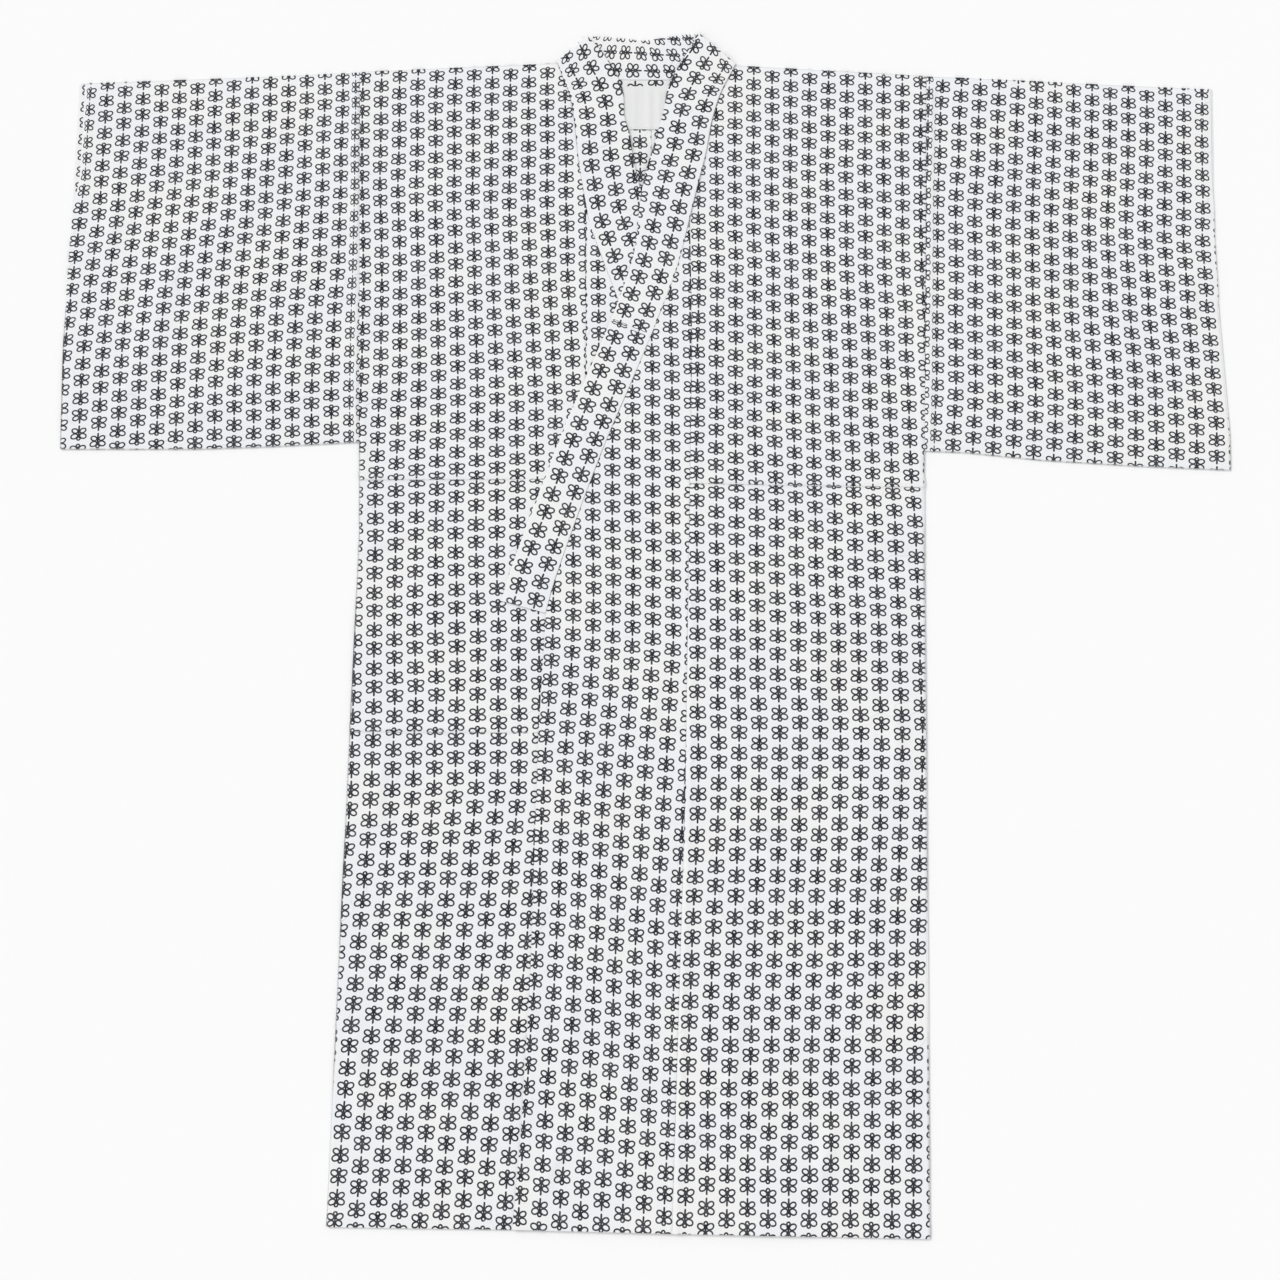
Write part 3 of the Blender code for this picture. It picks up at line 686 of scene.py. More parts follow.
def print_at(design, x, drop, hidden=0.0):
    """Where a point of a piece lies in its print, in metres at the size of the print's cells."""
    near = np.abs(drop)
    across = (x - design.middle - at(design.lean, near)) / at(design.across, near) + design.phase
    fallen = at(design.slope, np.maximum(drop, 0.0)) * (x - design.middle) / at(ROW_PITCH, near)
    down = rows_down(drop + hidden) - fallen
    return warp(across * PITCH, down * PITCH, design.seed)


def body(name, inner, outer, inner_rise, outer_rise, length, tucks, rest, design, armhole,
         okumi_roll, neck):
    """A body panel: its front, the shoulder fold, its back and the folded side seam."""
    side = math.copysign(1.0, outer[0][1])
    outer = moved(outer, -side * SEAM_GAP / 2)
    marks = [armhole] + tuck_stations(tucks) + hem_stations(length)
    drops = stations(FOLD_REACH, length, CELL, marks)
    shares = edge_shares(abs(float(at(outer, length) - at(inner, length))))
    drop = drops[:, None]
    low, high = at(inner_rise, drop), at(outer_rise, drop)
    tucked_in = (1 - fall(drop - armhole + SIDE_TUCK, SIDE_TUCK)) * FOLD_REACH
    start = at(inner, drop - low)
    end = at(outer, drop - high) - side * tucked_in
    x = start + (end - start) * shares
    y = -drop + low + (high - low) * shares
    by_armhole = fall(drop - armhole - ARMHOLE_END, ARMHOLE_FADE)
    by_okumi = 1 - fall(drop - OKUMI_ROLL_FROM, OKUMI_ROLL_FADE)
    z = rest(x, np.broadcast_to(drop, x.shape)) + CLOTH / 2
    z = z + ARMHOLE_HEIGHT * BODY_SHARE * roll(np.abs(end - x), SEAM_ROLL) * by_armhole
    z = z + okumi_roll * roll(np.abs(x - start), SEAM_ROLL) * by_okumi
    z = z + hem_lift(drop, length)
    z[0] = ON_BACK + CLOTH / 2
    u, v = print_at(design, x, -y, hidden_length(tucks, x, drop))

    piece = Sheet()
    front = piece.add(x, y, z, u, v)
    piece.join(front)

    centre = CENTRE_SEAM + side * SEAM_GAP / 2
    neck_x = np.array([row.seam for row in neck])
    neck_x[0] = centre
    top_x = np.concatenate([neck_x, x[0]])
    top_y = np.concatenate([-neck_drop(neck_x) - SEAM_GAP, y[0]])
    back_shares = np.abs(top_x - centre) / abs(x[0, -1] - centre)
    scale = (length - BACK_HEM_SHORTER) / length
    back_drop = (drops[1:] * scale)[:, None]
    reach = at(outer, back_drop) - side * tucked_in[1:]
    back_x = centre + (reach - centre) * back_shares
    back_y = -back_drop + at(outer_rise, back_drop) * back_shares
    below_top = np.arange(1, len(back_drop) + 1)[:, None]
    back_y = np.minimum(back_y, top_y - LEAST_ROW_GAP * below_top)
    calm = inside(np.abs(reach - back_x), CALM_SIDE) * inside(length - back_drop, CALM_SIDE)
    lifted = hollows(back_x, -back_y, side) * calm * inside(back_drop, CALM_TOP)
    back_x = np.vstack([top_x, back_x])
    back_y = np.vstack([top_y, back_y])
    from_centre = np.abs(back_x - centre)
    allowance = ALLOWANCE_STEP * fall(from_centre - ALLOWANCE, STEP_WIDTH) * (side > 0)
    back_z = ON_FLOOR + CLOTH / 2 + allowance
    back_z[1:] += lifted
    back = piece.add(back_x, back_y, back_z, *print_at(design, back_x, back_y))
    piece.join(back)
    piece.fold(front[0], back[0, len(neck_x):], (0, 1, 0))
    below = np.searchsorted(drops, armhole)
    piece.fold(front[below:, -1], back[below:, -1], (side, 0, 0))
    return build(name, piece, printed_cotton)


def okumi(name, seam, edge, free_rise, tip, length, rest, design, seam_roll):
    """A tapered overlap panel between its seam and the collar or its own free edge."""
    drops = stations(tip + OKUMI_TIP, length, CELL, hem_stations(length))
    shares = edge_shares(abs(float(at(edge, length) - at(seam, length))))
    drop = drops[:, None]
    rise = at(free_rise, drop)
    start, end = at(seam, drop), at(edge, drop - rise)
    x = start + (end - start) * shares
    y = -drop + rise * shares
    z = rest(x, np.broadcast_to(drop, x.shape)) + CLOTH / 2
    z = z + seam_roll * roll(np.abs(x - start), OKUMI_ROLL) + hem_lift(drop, length)
    free = 1 - fall(drop - COLLAR_END - FREE_HEM_FROM, 2 * FREE_HEM_FROM)
    z = z + HEM_STEP * fall(np.abs(end - x) - FREE_HEM, STEP_WIDTH) * free
    piece = Sheet()
    piece.join(piece.add(x, y, z, *print_at(design, x, -y)))
    return build(name, piece, printed_cotton)


def sleeve(name, edges, armhole, wrist, set_back, design):
    """A flat sleeve, folded along its top and sewn at the bottom and the lower wrist."""
    side = math.copysign(1.0, armhole[0][1])
    armhole = moved(armhole, side * SEAM_GAP / 2)
    tops = tuple((row.share, row.top) for row in edges)
    bottoms = tuple((row.share, row.bottom) for row in edges)
    width = abs(wrist[0][1] - armhole[0][1])
    shares = edge_shares(width)
    length = edges[0].bottom
    down = stations(0.0, 1.0, CELL / length, [1 - HEM / length])[:, None]
    top = at(tops, shares) + FOLD_REACH
    bottom = at(bottoms, shares) - FOLD_REACH
    drop = top + (bottom - top) * down
    start = at(armhole, drop)
    closed = 1 - fall(drop - CUFF_OPENING, CUFF_CLOSING)
    reach = at(wrist, drop) - side * FOLD_REACH * closed
    x = start + (reach - start) * shares
    set_in = fall(drop - CUFF_SET_TO, CUFF_SET_FADE) * set_back * fall(1 - shares, CUFF_SET_SHARE)
    front_x = x - side * set_in
    z = soft_height(front_x, drop) + ARMHOLE_HEIGHT * roll(np.abs(x - start), SEAM_ROLL)
    z = z + HEM_STEP * fall(np.abs(reach - x) - WRIST_HEM, STEP_WIDTH)
    calm = np.minimum(inside(down, CALM_FOLD), inside(1 - down, CALM_FOLD))
    calm = np.minimum(calm, inside(1 - shares, CALM_WRIST))
    z = ON_BACK + CLOTH / 2 + z * calm
    taken_up = TAKEN_UP * (1 - fall(np.abs(x - start), TAKEN_UP_WIDTH))
    out = (shares * width + taken_up) * side - at(design.lean, drop)
    u = out / at(design.across, drop) + design.phase
    v = rows_down(drop) - at(design.slope, drop) * (x - start) / at(ROW_PITCH, drop)
    u, v = warp(u * PITCH, v * PITCH, design.seed)
    piece = Sheet()
    front = piece.add(front_x, -drop, z, u, v)
    back_z = ON_FLOOR + CLOTH / 2 + HIDDEN_SHARE * ridge_height(x, drop) * calm * calm
    back = piece.add(x, -drop, back_z, u, 2 * v[0] - v)
    piece.join(front)
    piece.join(back)
    piece.fold(front[0], back[0], (0, 1, 0))
    piece.fold(front[-1], back[-1], (0, -1, 0))
    below = int(np.searchsorted(drop[:, -1], CUFF_OPENING + CUFF_CLOSING))
    piece.fold(front[below:, -1], back[below:, -1], (side, 0, 0))
    return build(name, piece, printed_cotton)


class Number:
    """A number that a material's nodes work out, written with the usual signs."""

    def __init__(self, graph, socket):
        self.graph, self.socket = graph, socket

    def __add__(self, other):
        return self.graph.math("ADD", self, other)

    def __sub__(self, other):
        return self.graph.math("SUBTRACT", self, other)

    def __mul__(self, other):
        return self.graph.math("MULTIPLY", self, other)

    def __truediv__(self, other):
        return self.graph.math("DIVIDE", self, other)

    def __abs__(self):
        return self.graph.math("ABSOLUTE", self)


class Graph:
    """A new material, with short names for its nodes."""

    def __init__(self, name):
        self.material = bpy.data.materials.new(name)
        self.material.use_nodes = True
        self.tree = self.material.node_tree
        self.shader = self.tree.nodes["Principled BSDF"]

    def node(self, kind, **settings):
        made = self.tree.nodes.new(kind)
        for key, value in settings.items():
            setattr(made, key, value)
        return made

    def feed(self, socket, value):
        if isinstance(value, Number):
            value = value.socket
        if isinstance(value, bpy.types.NodeSocket):
            self.tree.links.new(value, socket)
        else:
            socket.default_value = value

    def math(self, operation, *values):
        made = self.node("ShaderNodeMath", operation=operation)
        for socket, value in zip(made.inputs, values):
            self.feed(socket, value)
        return Number(self, made.outputs[0])

    def ramp(self, value, low, high, result_low=0.0, result_high=1.0):
        made = self.node("ShaderNodeMapRange", interpolation_type="SMOOTHSTEP")
        for socket, given in zip(made.inputs, (value, low, high, result_low, result_high)):
            self.feed(socket, given)
        return Number(self, made.outputs[0])

    def mix(self, factor, first, second):
        made = self.node("ShaderNodeMix", data_type="RGBA")
        self.feed(made.inputs[0], factor)
        self.feed(made.inputs[6], first)
        self.feed(made.inputs[7], second)
        return made.outputs[2]

    def noise(self, vector, grain):
        made = self.node("ShaderNodeTexNoise")
        for name, value in zip(("Vector", "Scale", "Detail", "Roughness"), (vector, *grain)):
            self.feed(made.inputs[name], value)
        return Number(self, made.outputs["Fac"])

    def length(self, x, y):
        return self.math("SQRT", x * x + y * y)

    def surface(self, **values):
        """Sets the shader's inputs, whose names have spaces in place of underscores."""
        for name, value in values.items():
            self.feed(self.shader.inputs[name.replace("_", " ")], value)

    def bump(self, height, strength, distance):
        made = self.node("ShaderNodeBump")
        self.feed(made.inputs["Strength"], strength)
        self.feed(made.inputs["Distance"], distance)
        self.feed(made.inputs["Height"], height)
        self.feed(self.shader.inputs["Normal"], made.outputs[0])


# The figure of the print, a dragonfly seen from above, in millimetres about its middle
Wing = namedtuple("Wing", "x y long wide turn")
WINGS = (
    Wing(5.35, 4.0, 4.15, 3.2, 24.0),
    Wing(4.95, -3.5, 3.85, 2.9, -28.0),
)
LINE = 1.95
BODY_TOP, BODY_END, BODY_RADIUS = 4.2, -9.9, 1.15
HEAD_PLACE, HEAD_RADIUS = 7.4, 2.0
MM = 1000.0


def dragonflies(graph, u, v):
    """How far a point of the cloth lies outside the ink, in millimetres, and less than 0 in it.

    The figures stand in columns, each half a cell lower than the last, and every other one is
    turned.
    """
    across = u / PITCH
    odd = graph.math("FLOORED_MODULO", graph.math("FLOOR", across), 2.0)
    along = v / PITCH + odd * 0.5
    row = graph.math("FLOORED_MODULO", graph.math("FLOOR", along), 2.0)
    x = abs((graph.math("FRACT", across) - 0.5) * (PITCH * MM))
    y = (graph.math("FRACT", along) - 0.5) * (PITCH * MM) * (row * 2.0 - 1.0)
    parts = []
    for wing in WINGS:
        cos, sin = math.cos(math.radians(wing.turn)), math.sin(math.radians(wing.turn))
        dx, dy = x - wing.x, y - wing.y
        px, py = dx * cos + dy * sin, dy * cos - dx * sin
        near = graph.length(px / wing.long, py / wing.wide)
        slope = graph.length(px / wing.long ** 2, py / wing.wide ** 2)
        parts.append(abs(near * (near - 1.0) / slope) - LINE / 2)
    nearest = graph.math("MINIMUM", graph.math("MAXIMUM", y, BODY_END), BODY_TOP)
    parts.append(graph.length(x, y - nearest) - BODY_RADIUS)
    head = graph.length(x, y - HEAD_PLACE)
    parts.append(abs(head - HEAD_RADIUS) - LINE / 2)
    ink = parts[0]
    for part in parts[1:]:
        ink = graph.math("MINIMUM", ink, part)
    return ink


# Pairs of colours that a noise mixes
WHITES = (0.822, 0.838, 0.872, 1.0), (0.856, 0.858, 0.85, 1.0)
# The lining's pair is greyer than the robe's: partly the plainer cloth's own tone, partly painted
# shade of the neck opening
LINING_WHITES_AND_SHADE = (0.77, 0.772, 0.772, 1.0), (0.815, 0.813, 0.805, 1.0)
THREAD_WHITES = (0.86, 0.86, 0.85, 1.0), (0.74, 0.75, 0.77, 1.0)
INKS = (0.006, 0.007, 0.013, 1.0), (0.014, 0.016, 0.027, 1.0)
SLUB_WHITE = (0.76, 0.77, 0.79, 1.0)
SLUB_SHARE = 0.1

# The noises in the cloth and the thread
Grain = namedtuple("Grain", "scale detail rough")
SLUBS = Grain(260.0, 2.0, 0.6)
TINTS = Grain(9.0, 3.0, 0.5)
INK_EDGES = Grain(900.0, 1.0, 0.5)
WEAR = Grain(60.0, 2.0, 0.5)
CRUMPLES = Grain(55.0, 3.0, 0.55)
CRINKLES = Grain(13.0, 2.0, 0.55)
CRINKLE_BREAKS = Grain(21.0, 1.0, 0.5)
TWISTS = Grain(1800.0, 1.0, 0.5)

# The ink's edge in millimetres, how far it wavers and how soft it is, and how much the ink is worn
INK_WAVER = 0.16
INK_SOFT = 0.14
INK_LEAST = 0.93

# The small forms in the cloth's bump: how far apart the threads lie, heights, and the share of
# the way from the broad noise's middle that a crinkle takes up
THREAD_PITCH = 0.00085
WEAVE_HEIGHT = 0.00004
SLUB_HEIGHT = 0.00012
CRUMPLE_HEIGHT = 0.0008
CRINKLE_HEIGHT = 0.0009
CRINKLE_REACH = 0.014


def crinkles(graph, place):
    """Short thin creases: where a broad noise passes its middle, broken up by another one."""
    near = abs(graph.noise(place, CRINKLES) - 0.5)
    broken = graph.ramp(graph.noise(place, CRINKLE_BREAKS), 0.5, 0.62)
    return graph.ramp(near, CRINKLE_REACH, 0.0) * broken * CRINKLE_HEIGHT


def cotton(name, whites, printed_to):
    """White plain-weave cotton, with the dark print as far down as a drop."""
    graph = Graph(name)
    place = graph.node("ShaderNodeUVMap", uv_map="cloth").outputs[0]
    split = graph.node("ShaderNodeSeparateXYZ")
    graph.feed(split.inputs[0], place)
    u, v = Number(graph, split.outputs[0]), Number(graph, split.outputs[1])

    slub = graph.noise(place, SLUBS)
    white = graph.mix(graph.ramp(graph.noise(place, TINTS), 0.35, 0.65), *whites)
    white = graph.mix(graph.ramp(slub, 0.3, 0.75, 0.0, SLUB_SHARE), white, SLUB_WHITE)
    waver = graph.ramp(graph.noise(place, INK_EDGES), 0.0, 1.0, -INK_WAVER, INK_WAVER)
    ink = graph.ramp(dragonflies(graph, u, v) + waver, INK_SOFT, -INK_SOFT)
    worn = graph.ramp(graph.noise(place, WEAR), 0.2, 0.8, INK_LEAST, 1.0)
    ink = ink * graph.math("LESS_THAN", v, printed_to) * worn
    dark = graph.mix(graph.ramp(slub, 0.2, 0.8), *INKS)
    graph.surface(
        Base_Color=graph.mix(ink, white, dark),
        Roughness=0.86,
        Specular_IOR_Level=0.25,
        Sheen_Weight=0.1,
        Sheen_Roughness=0.5,
    )

    turns = 2 * math.pi / THREAD_PITCH
    weave = graph.math("SINE", u * turns) * graph.math("SINE", v * turns)
    crumple = graph.noise(place, CRUMPLES)
    height = weave * WEAVE_HEIGHT + crumple * CRUMPLE_HEIGHT + slub * SLUB_HEIGHT
    graph.bump(height + crinkles(graph, place), strength=0.55, distance=1.0)
    return graph.material


# The drop to which each cotton is printed, which for the robe's own cloth is past its end
WHOLE_CLOTH = 10.0
printed_cotton = cotton("printed_cotton", WHITES, WHOLE_CLOTH)
# The lining's cotton takes the greyer whites, which hold painted shade of the neck opening
plain_cotton = cotton("plain_cotton", LINING_WHITES_AND_SHADE, LINING_STRIP)


def thread_material():
    """White cotton thread with a fine twist."""
    graph = Graph("white_thread")
    twist = graph.noise(graph.node("ShaderNodeTexCoord").outputs["Object"], TWISTS)
    graph.surface(Base_Color=graph.mix(graph.ramp(twist, 0.3, 0.7), *THREAD_WHITES), Roughness=0.6)
    graph.bump(twist, strength=0.4, distance=0.0002)
    return graph.material


white_thread = thread_material()


def smooth_rows(rows, cell):
    """Points along smooth curves through rows of points, about a cell apart."""
    rows = np.array(rows, float)
    middle = rows.mean(axis=1)[:, :2]
    gaps = np.maximum(np.linalg.norm(np.diff(middle, axis=0), axis=1), 1e-6)
    places = np.concatenate([[0.0], np.cumsum(gaps)])
    slopes = np.gradient(rows, places, axis=0)
    result, along = [], []
    for index, gap in enumerate(gaps):
        count = max(1, math.ceil(gap / cell))
        for step in range(count):
            t = step / count
            a = 2 * t ** 3 - 3 * t ** 2 + 1
            b = t ** 3 - 2 * t ** 2 + t
            c = -2 * t ** 3 + 3 * t ** 2
            d = t ** 3 - t ** 2
            from_start = a * rows[index] + b * gap * slopes[index]
            result.append(from_start + c * rows[index + 1] + d * gap * slopes[index + 1])
            along.append(places[index] + gap * t)
    result.append(rows[-1])
    along.append(places[-1])
    return np.array(result), np.array(along)


# The band's cross-section from its seam edge to its free edge: distances from the nearer edge,
# and how far its two layers part in the middle
BAND_EDGE = (0.0, 0.0002, 0.0006, 0.0011, 0.002, 0.004, 0.008)
BAND_ROUND = 0.0011
BAND_MIDDLE = (0.3, 0.4, 0.5, 0.6, 0.7)
BAND_WIDTH = 0.058
BAND_PUFF = 0.00035
EDGE_CUT = 0.98
BAND_NEAR = tuple(distance / BAND_WIDTH for distance in BAND_EDGE)
BAND_SHARES = np.array(BAND_NEAR + BAND_MIDDLE + tuple(1 - share for share in BAND_NEAR[::-1]))

# The cover collar: the drop of its end seams, their groove, and the print's shift past them
COVER_SEAM_DROP = 0.322
COVER_GROOVE = 0.35
COVER_GROOVE_WIDTH = 0.006
COVER_SHIFT = 0.42


def band_row(seam, free, height):
    seam, free = np.array([*seam, height]), np.array([*free, height])
    return seam + (free - seam) * BAND_SHARES[:, None]


def band_half_thickness(puff):
    """Half the band's thickness across its width: round edges and a puff between them."""
    from_edge = np.minimum(BAND_SHARES, 1 - BAND_SHARES) * BAND_WIDTH
    inward = np.clip(1 - from_edge / BAND_ROUND, 0, 1)
    round_edge = BAND / 2 * np.sqrt(1 - inward * inward * EDGE_CUT)
    return round_edge + puff * np.sin(math.pi * BAND_SHARES)


def band_fold(seam, free, low, high):
    """The band turns over along a slanting line, where the neck's back passes to the front."""
    seam, free = np.array(seam), np.array(free)
    along = (free - seam) / np.linalg.norm(free - seam)
    outward = np.array([-along[1], along[0]])
    if outward[1] < 0:
        outward = -outward
    radius = (high - low) / 2
    rows = []
    for step in range(1, FOLD_STEPS):
        angle = math.pi * step / FOLD_STEPS
        shift = outward * radius * math.sin(angle)
        rows.append(band_row(seam + shift, free + shift, (low + high) / 2 - radius * math.cos(angle)))
    return rows


def collar():
    """One band: up the left arm, over the fold, round the back of the neck, down the right arm."""
    half = BAND / 2

    def arm_rows(arms, side):
        return [band_row((arm.seam, -arm.drop), arm_free(arm, side), arm.rest + half) for arm in arms]

    low, high = ON_FLOOR + half, ON_LINING + half
    left_ends = (LEFT_ARM[0].seam, -LEFT_ARM[0].drop), arm_free(LEFT_ARM[0], 1)
    right_ends = (RIGHT_ARM[0].seam, -RIGHT_ARM[0].drop), arm_free(RIGHT_ARM[0], -1)
    nape = [
        band_row((row.seam, -float(neck_drop(row.seam))), (row.free, row.rise), low)
        for row in NAPE
    ]
    nape = [band_row(*left_ends, low)] + nape + [band_row(*right_ends, low)]
    left, left_along = smooth_rows(arm_rows(LEFT_ARM, 1), BAND_CELL)
    right, right_along = smooth_rows(arm_rows(RIGHT_ARM, -1), BAND_CELL)
    back, back_along = smooth_rows(nape, BAND_CELL)
    left_fold, right_fold = band_fold(*left_ends, low, high), band_fold(*right_ends, low, high)
    rows = np.concatenate([left[::-1], left_fold[::-1], back, right_fold, right])

    fold_length = math.pi * (high - low) / 2
    fold_along = fold_length * np.arange(1, FOLD_STEPS) / FOLD_STEPS
    nape_start = left_along[-1] + fold_length
    nape_end = nape_start + back_along[-1]
    along = np.concatenate([
        left_along[-1] - left_along[::-1],
        left_along[-1] + fold_along,
        nape_start + back_along,
        nape_end + fold_along,
        nape_end + fold_length + right_along,
    ])
    first, last = cover_marks(left_along, right_along, along)

    from_nape = np.maximum(nape_start - along, along - nape_end).clip(min=0.0)
    turned = (1 - fall(from_nape, ARM_PRINT_FROM))[:, None]
    across = NAPE_PRINT.across + (ARM_PRINT.across - NAPE_PRINT.across) * turned
    phase = NAPE_PRINT.phase + (ARM_PRINT.phase - NAPE_PRINT.phase) * turned
    width = np.linalg.norm(rows[:, -1, :2] - rows[:, 0, :2], axis=1)[:, None]
    u = BAND_SHARES * width / across + phase
    around = 2 * (width / across + phase) * PITCH
    longer = (ARM_PRINT.along - NAPE_PRINT.along) / ARM_PRINT_ROWS_FROM
    row_pitch = NAPE_PRINT.along + longer * from_nape
    counted = np.concatenate([[0.0], np.cumsum(np.diff(along) / row_pitch[1:])])
    past_cover = (along < first) | (along > last)
    v = (counted + COVER_SHIFT * past_cover)[:, None]
    u, v = warp(u * PITCH, v * PITCH, BAND_SEED)

    by_cover = fall(np.minimum(abs(first - along), abs(last - along)), COVER_GROOVE_WIDTH)
    above = band_half_thickness(BAND_PUFF) * (1 - COVER_GROOVE * by_cover[:, None])
    below = band_half_thickness(0.0)
    piece = Sheet()
    upper = piece.add(rows[:, :, 0], rows[:, :, 1], rows[:, :, 2] + above, u, v)
    lower = piece.add(rows[:, :, 0], rows[:, :, 1], rows[:, :, 2] - below, around - u, v)
    piece.join(upper)
    piece.join(lower[:, ::-1])
    piece.join(np.array([upper[:, -1], lower[:, -1]]))
    piece.join(np.array([lower[:, 0], upper[:, 0]]))
    piece.join(np.array([upper[0], lower[0]]))
    piece.join(np.array([lower[-1], upper[-1]]))
    return build("collar_band", piece, printed_cotton, wall=None)


def cover_marks(left_along, right_along, along):
    """Where the cover collar's two end seams cross the band, as lengths along it."""
    left_share, right_share = (
        (COVER_SEAM_DROP - arms[0].drop) / (arms[-1].drop - arms[0].drop)
        for arms in (LEFT_ARM, RIGHT_ARM)
    )
    return left_along[-1] * (1 - left_share), along[-1] - right_along[-1] * (1 - right_share)


def lining():
    """The plain lining on the inside of the back, just below the neck seam."""
    x = stations(*LINING_SIDES, CELL / 3)
    top = neck_drop(x) + SEAM_GAP
    down = np.linspace(0, 1, LINING_ROWS)[:, None]
    drop = top + (LINING_DROP - top) * down
    x = np.broadcast_to(x, drop.shape)
    z = ON_BACK + CLOTH / 2 + LINING_RIPPLE * noise_at(x, drop, LINING_RIPPLE_SIZE, LINING_SEED)
    below_seam = 1 - fall(drop - LINING_FOLDS_FROM, LINING_FOLDS_FADE)
    for fold in LINING_FOLDS:
        z = z + fold.height * fall(np.abs(x - fold.x), fold.width) * below_seam
    z = z - LINING_SEAM_STEP * fall(drop - LINING_STRIP, LINING_SEAM_WIDTH)
    piece = Sheet()
    piece.join(piece.add(x, -drop, z, x, drop))
    return build("neck_lining_cloth", piece, plain_cotton)


left_neck = [row for row in NAPE if row.seam <= CENTRE_SEAM][::-1]
right_neck = [row for row in NAPE if row.seam >= CENTRE_SEAM]

panels = {
    "body_left": body(
        "body_left_cloth", INNER_LEFT, SIDE_LEFT, NECK_RISE_LEFT, SIDE_RISE_LEFT, FRONT_LENGTH_LEFT,
        (WAIST_TUCK_LEFT, LOWER_TUCK_LEFT), left_front_rest, PRINT_LEFT, SLEEVE_DROP_LEFT,
        OKUMI_LOW_HEIGHT, left_neck,
    ),
    "body_right": body(
        "body_right_cloth", INNER_RIGHT, SIDE_RIGHT, NECK_RISE_RIGHT, SIDE_RISE_RIGHT,
        FRONT_LENGTH_RIGHT, (WAIST_TUCK_RIGHT,), right_front_rest, PRINT_RIGHT, SLEEVE_DROP_RIGHT,
        OKUMI_HEIGHT, right_neck,
    ),
    "okumi_left": okumi(
        "okumi_left_cloth", OKUMI_SEAM_LEFT, moved(UNDER_EDGE, -EDGE_SHIFT), LEVEL, LEFT_TIP,
        FRONT_LENGTH_LEFT - UNDER_OKUMI_SHORTER, left_okumi_rest, PRINT_OKUMI_LEFT, 0.0,
    ),
    "okumi_right": okumi(
        "okumi_right_cloth", OKUMI_SEAM_RIGHT, moved(UPPER_EDGE, EDGE_SHIFT), FREE_RISE_RIGHT,
        RIGHT_TIP, FRONT_LENGTH_RIGHT, right_okumi_rest, PRINT_OKUMI_RIGHT, OKUMI_LOW_HEIGHT,
    ),
    "sleeve_left": sleeve(
        "sleeve_left_cloth", SLEEVE_LEFT, SIDE_LEFT, WRIST_LEFT, CUFF_SET_BACK_LEFT,
        PRINT_SLEEVE_LEFT,
    ),
    "sleeve_right": sleeve(
        "sleeve_right_cloth", SLEEVE_RIGHT, SIDE_RIGHT, WRIST_RIGHT, CUFF_SET_BACK_RIGHT,
        PRINT_SLEEVE_RIGHT,
    ),
    "collar": collar(),
    "neck_lining": lining(),
}

# Rows of stitches that show, each on one piece: a line of (x, drop) pairs and a kind of stitch
Sewing = namedtuple("Sewing", "node line stitch")
HEM_ROW = 0.0135
Stitch = namedtuple("Stitch", "pitch length")
BLIND = Stitch(0.009, 0.0016)
RUNNING = Stitch(0.005, 0.0026)
SMALL = Stitch(0.005, 0.0016)


def beside(line, shift, first, last, steps=24):
    """Points along a line of (drop, x) pairs, moved sideways, between two drops."""
    drops = np.linspace(first, last, steps)
    return [(float(at(line, drop)) + shift, drop) for drop in drops]


def across(first_x, last_x, drop, end_drop=None):
    return [(first_x, drop), (last_x, drop if end_drop is None else end_drop)]


HEM_LEFT = FRONT_LENGTH_LEFT - HEM_ROW
HEM_RIGHT = FRONT_LENGTH_RIGHT - HEM_ROW
TUCK_RIGHT = WAIST_TUCK_RIGHT.drop
SEWING = (
    Sewing("body_left", across(-0.378, -0.165, HEM_LEFT, HEM_LEFT + 0.001), BLIND),
    Sewing("body_left", across(-0.338, -0.17, WAIST_TUCK_LEFT.drop - 0.003), RUNNING),
    Sewing("body_left", across(-0.35, -0.172, LOWER_TUCK_LEFT.drop - 0.003), RUNNING),
    Sewing("body_right", across(0.038, 0.337, HEM_RIGHT + 0.001, HEM_RIGHT + 0.006), BLIND),
    Sewing("body_right", across(0.06, 0.331, TUCK_RIGHT - 0.0026, TUCK_RIGHT + 0.0016), RUNNING),
    Sewing("okumi_right", across(-0.15, 0.028, HEM_RIGHT - 0.004, HEM_RIGHT), BLIND),
    Sewing("okumi_right", beside(FREE_EDGE_RIGHT, 0.0115, 0.672, 1.375), BLIND),
    Sewing("okumi_right", beside(OKUMI_SEAM_RIGHT, -0.0075, 0.235, 1.375), BLIND),
    Sewing("sleeve_left", beside(WRIST_LEFT, 0.0195, 0.03, 0.2), BLIND),
    Sewing("sleeve_left", beside(WRIST_LEFT, 0.0135, 0.215, 0.44), BLIND),
    Sewing("sleeve_left", beside(SIDE_LEFT, -0.0125, 0.02, 0.44), BLIND),
    Sewing("sleeve_right", beside(WRIST_RIGHT, -0.0145, 0.04, 0.465), BLIND),
    Sewing("sleeve_right", beside(SIDE_RIGHT, 0.0125, 0.024, 0.45), BLIND),
    Sewing("neck_lining", across(-0.03, 0.03, LINING_DROP - 0.0025), SMALL),
    Sewing("neck_lining", across(-0.03, 0.03, LINING_STRIP + 0.0012), SMALL),
)

# A thread's sections: share of the stitch from its middle, and radius and lift in radii
THREAD_RADIUS = 0.00028
THREAD_SIDES = 6
THREAD_SINK = 0.2
ABOVE_CLOTH = 0.05
Section = namedtuple("Section", "share radius lift")
THREAD_SECTIONS = (
    Section(-0.5, 0.35, 0.0),
    Section(-0.32, 0.85, 0.55),
    Section(0.0, 1.0, 0.8),
    Section(0.32, 0.85, 0.55),
    Section(0.5, 0.35, 0.0),
)


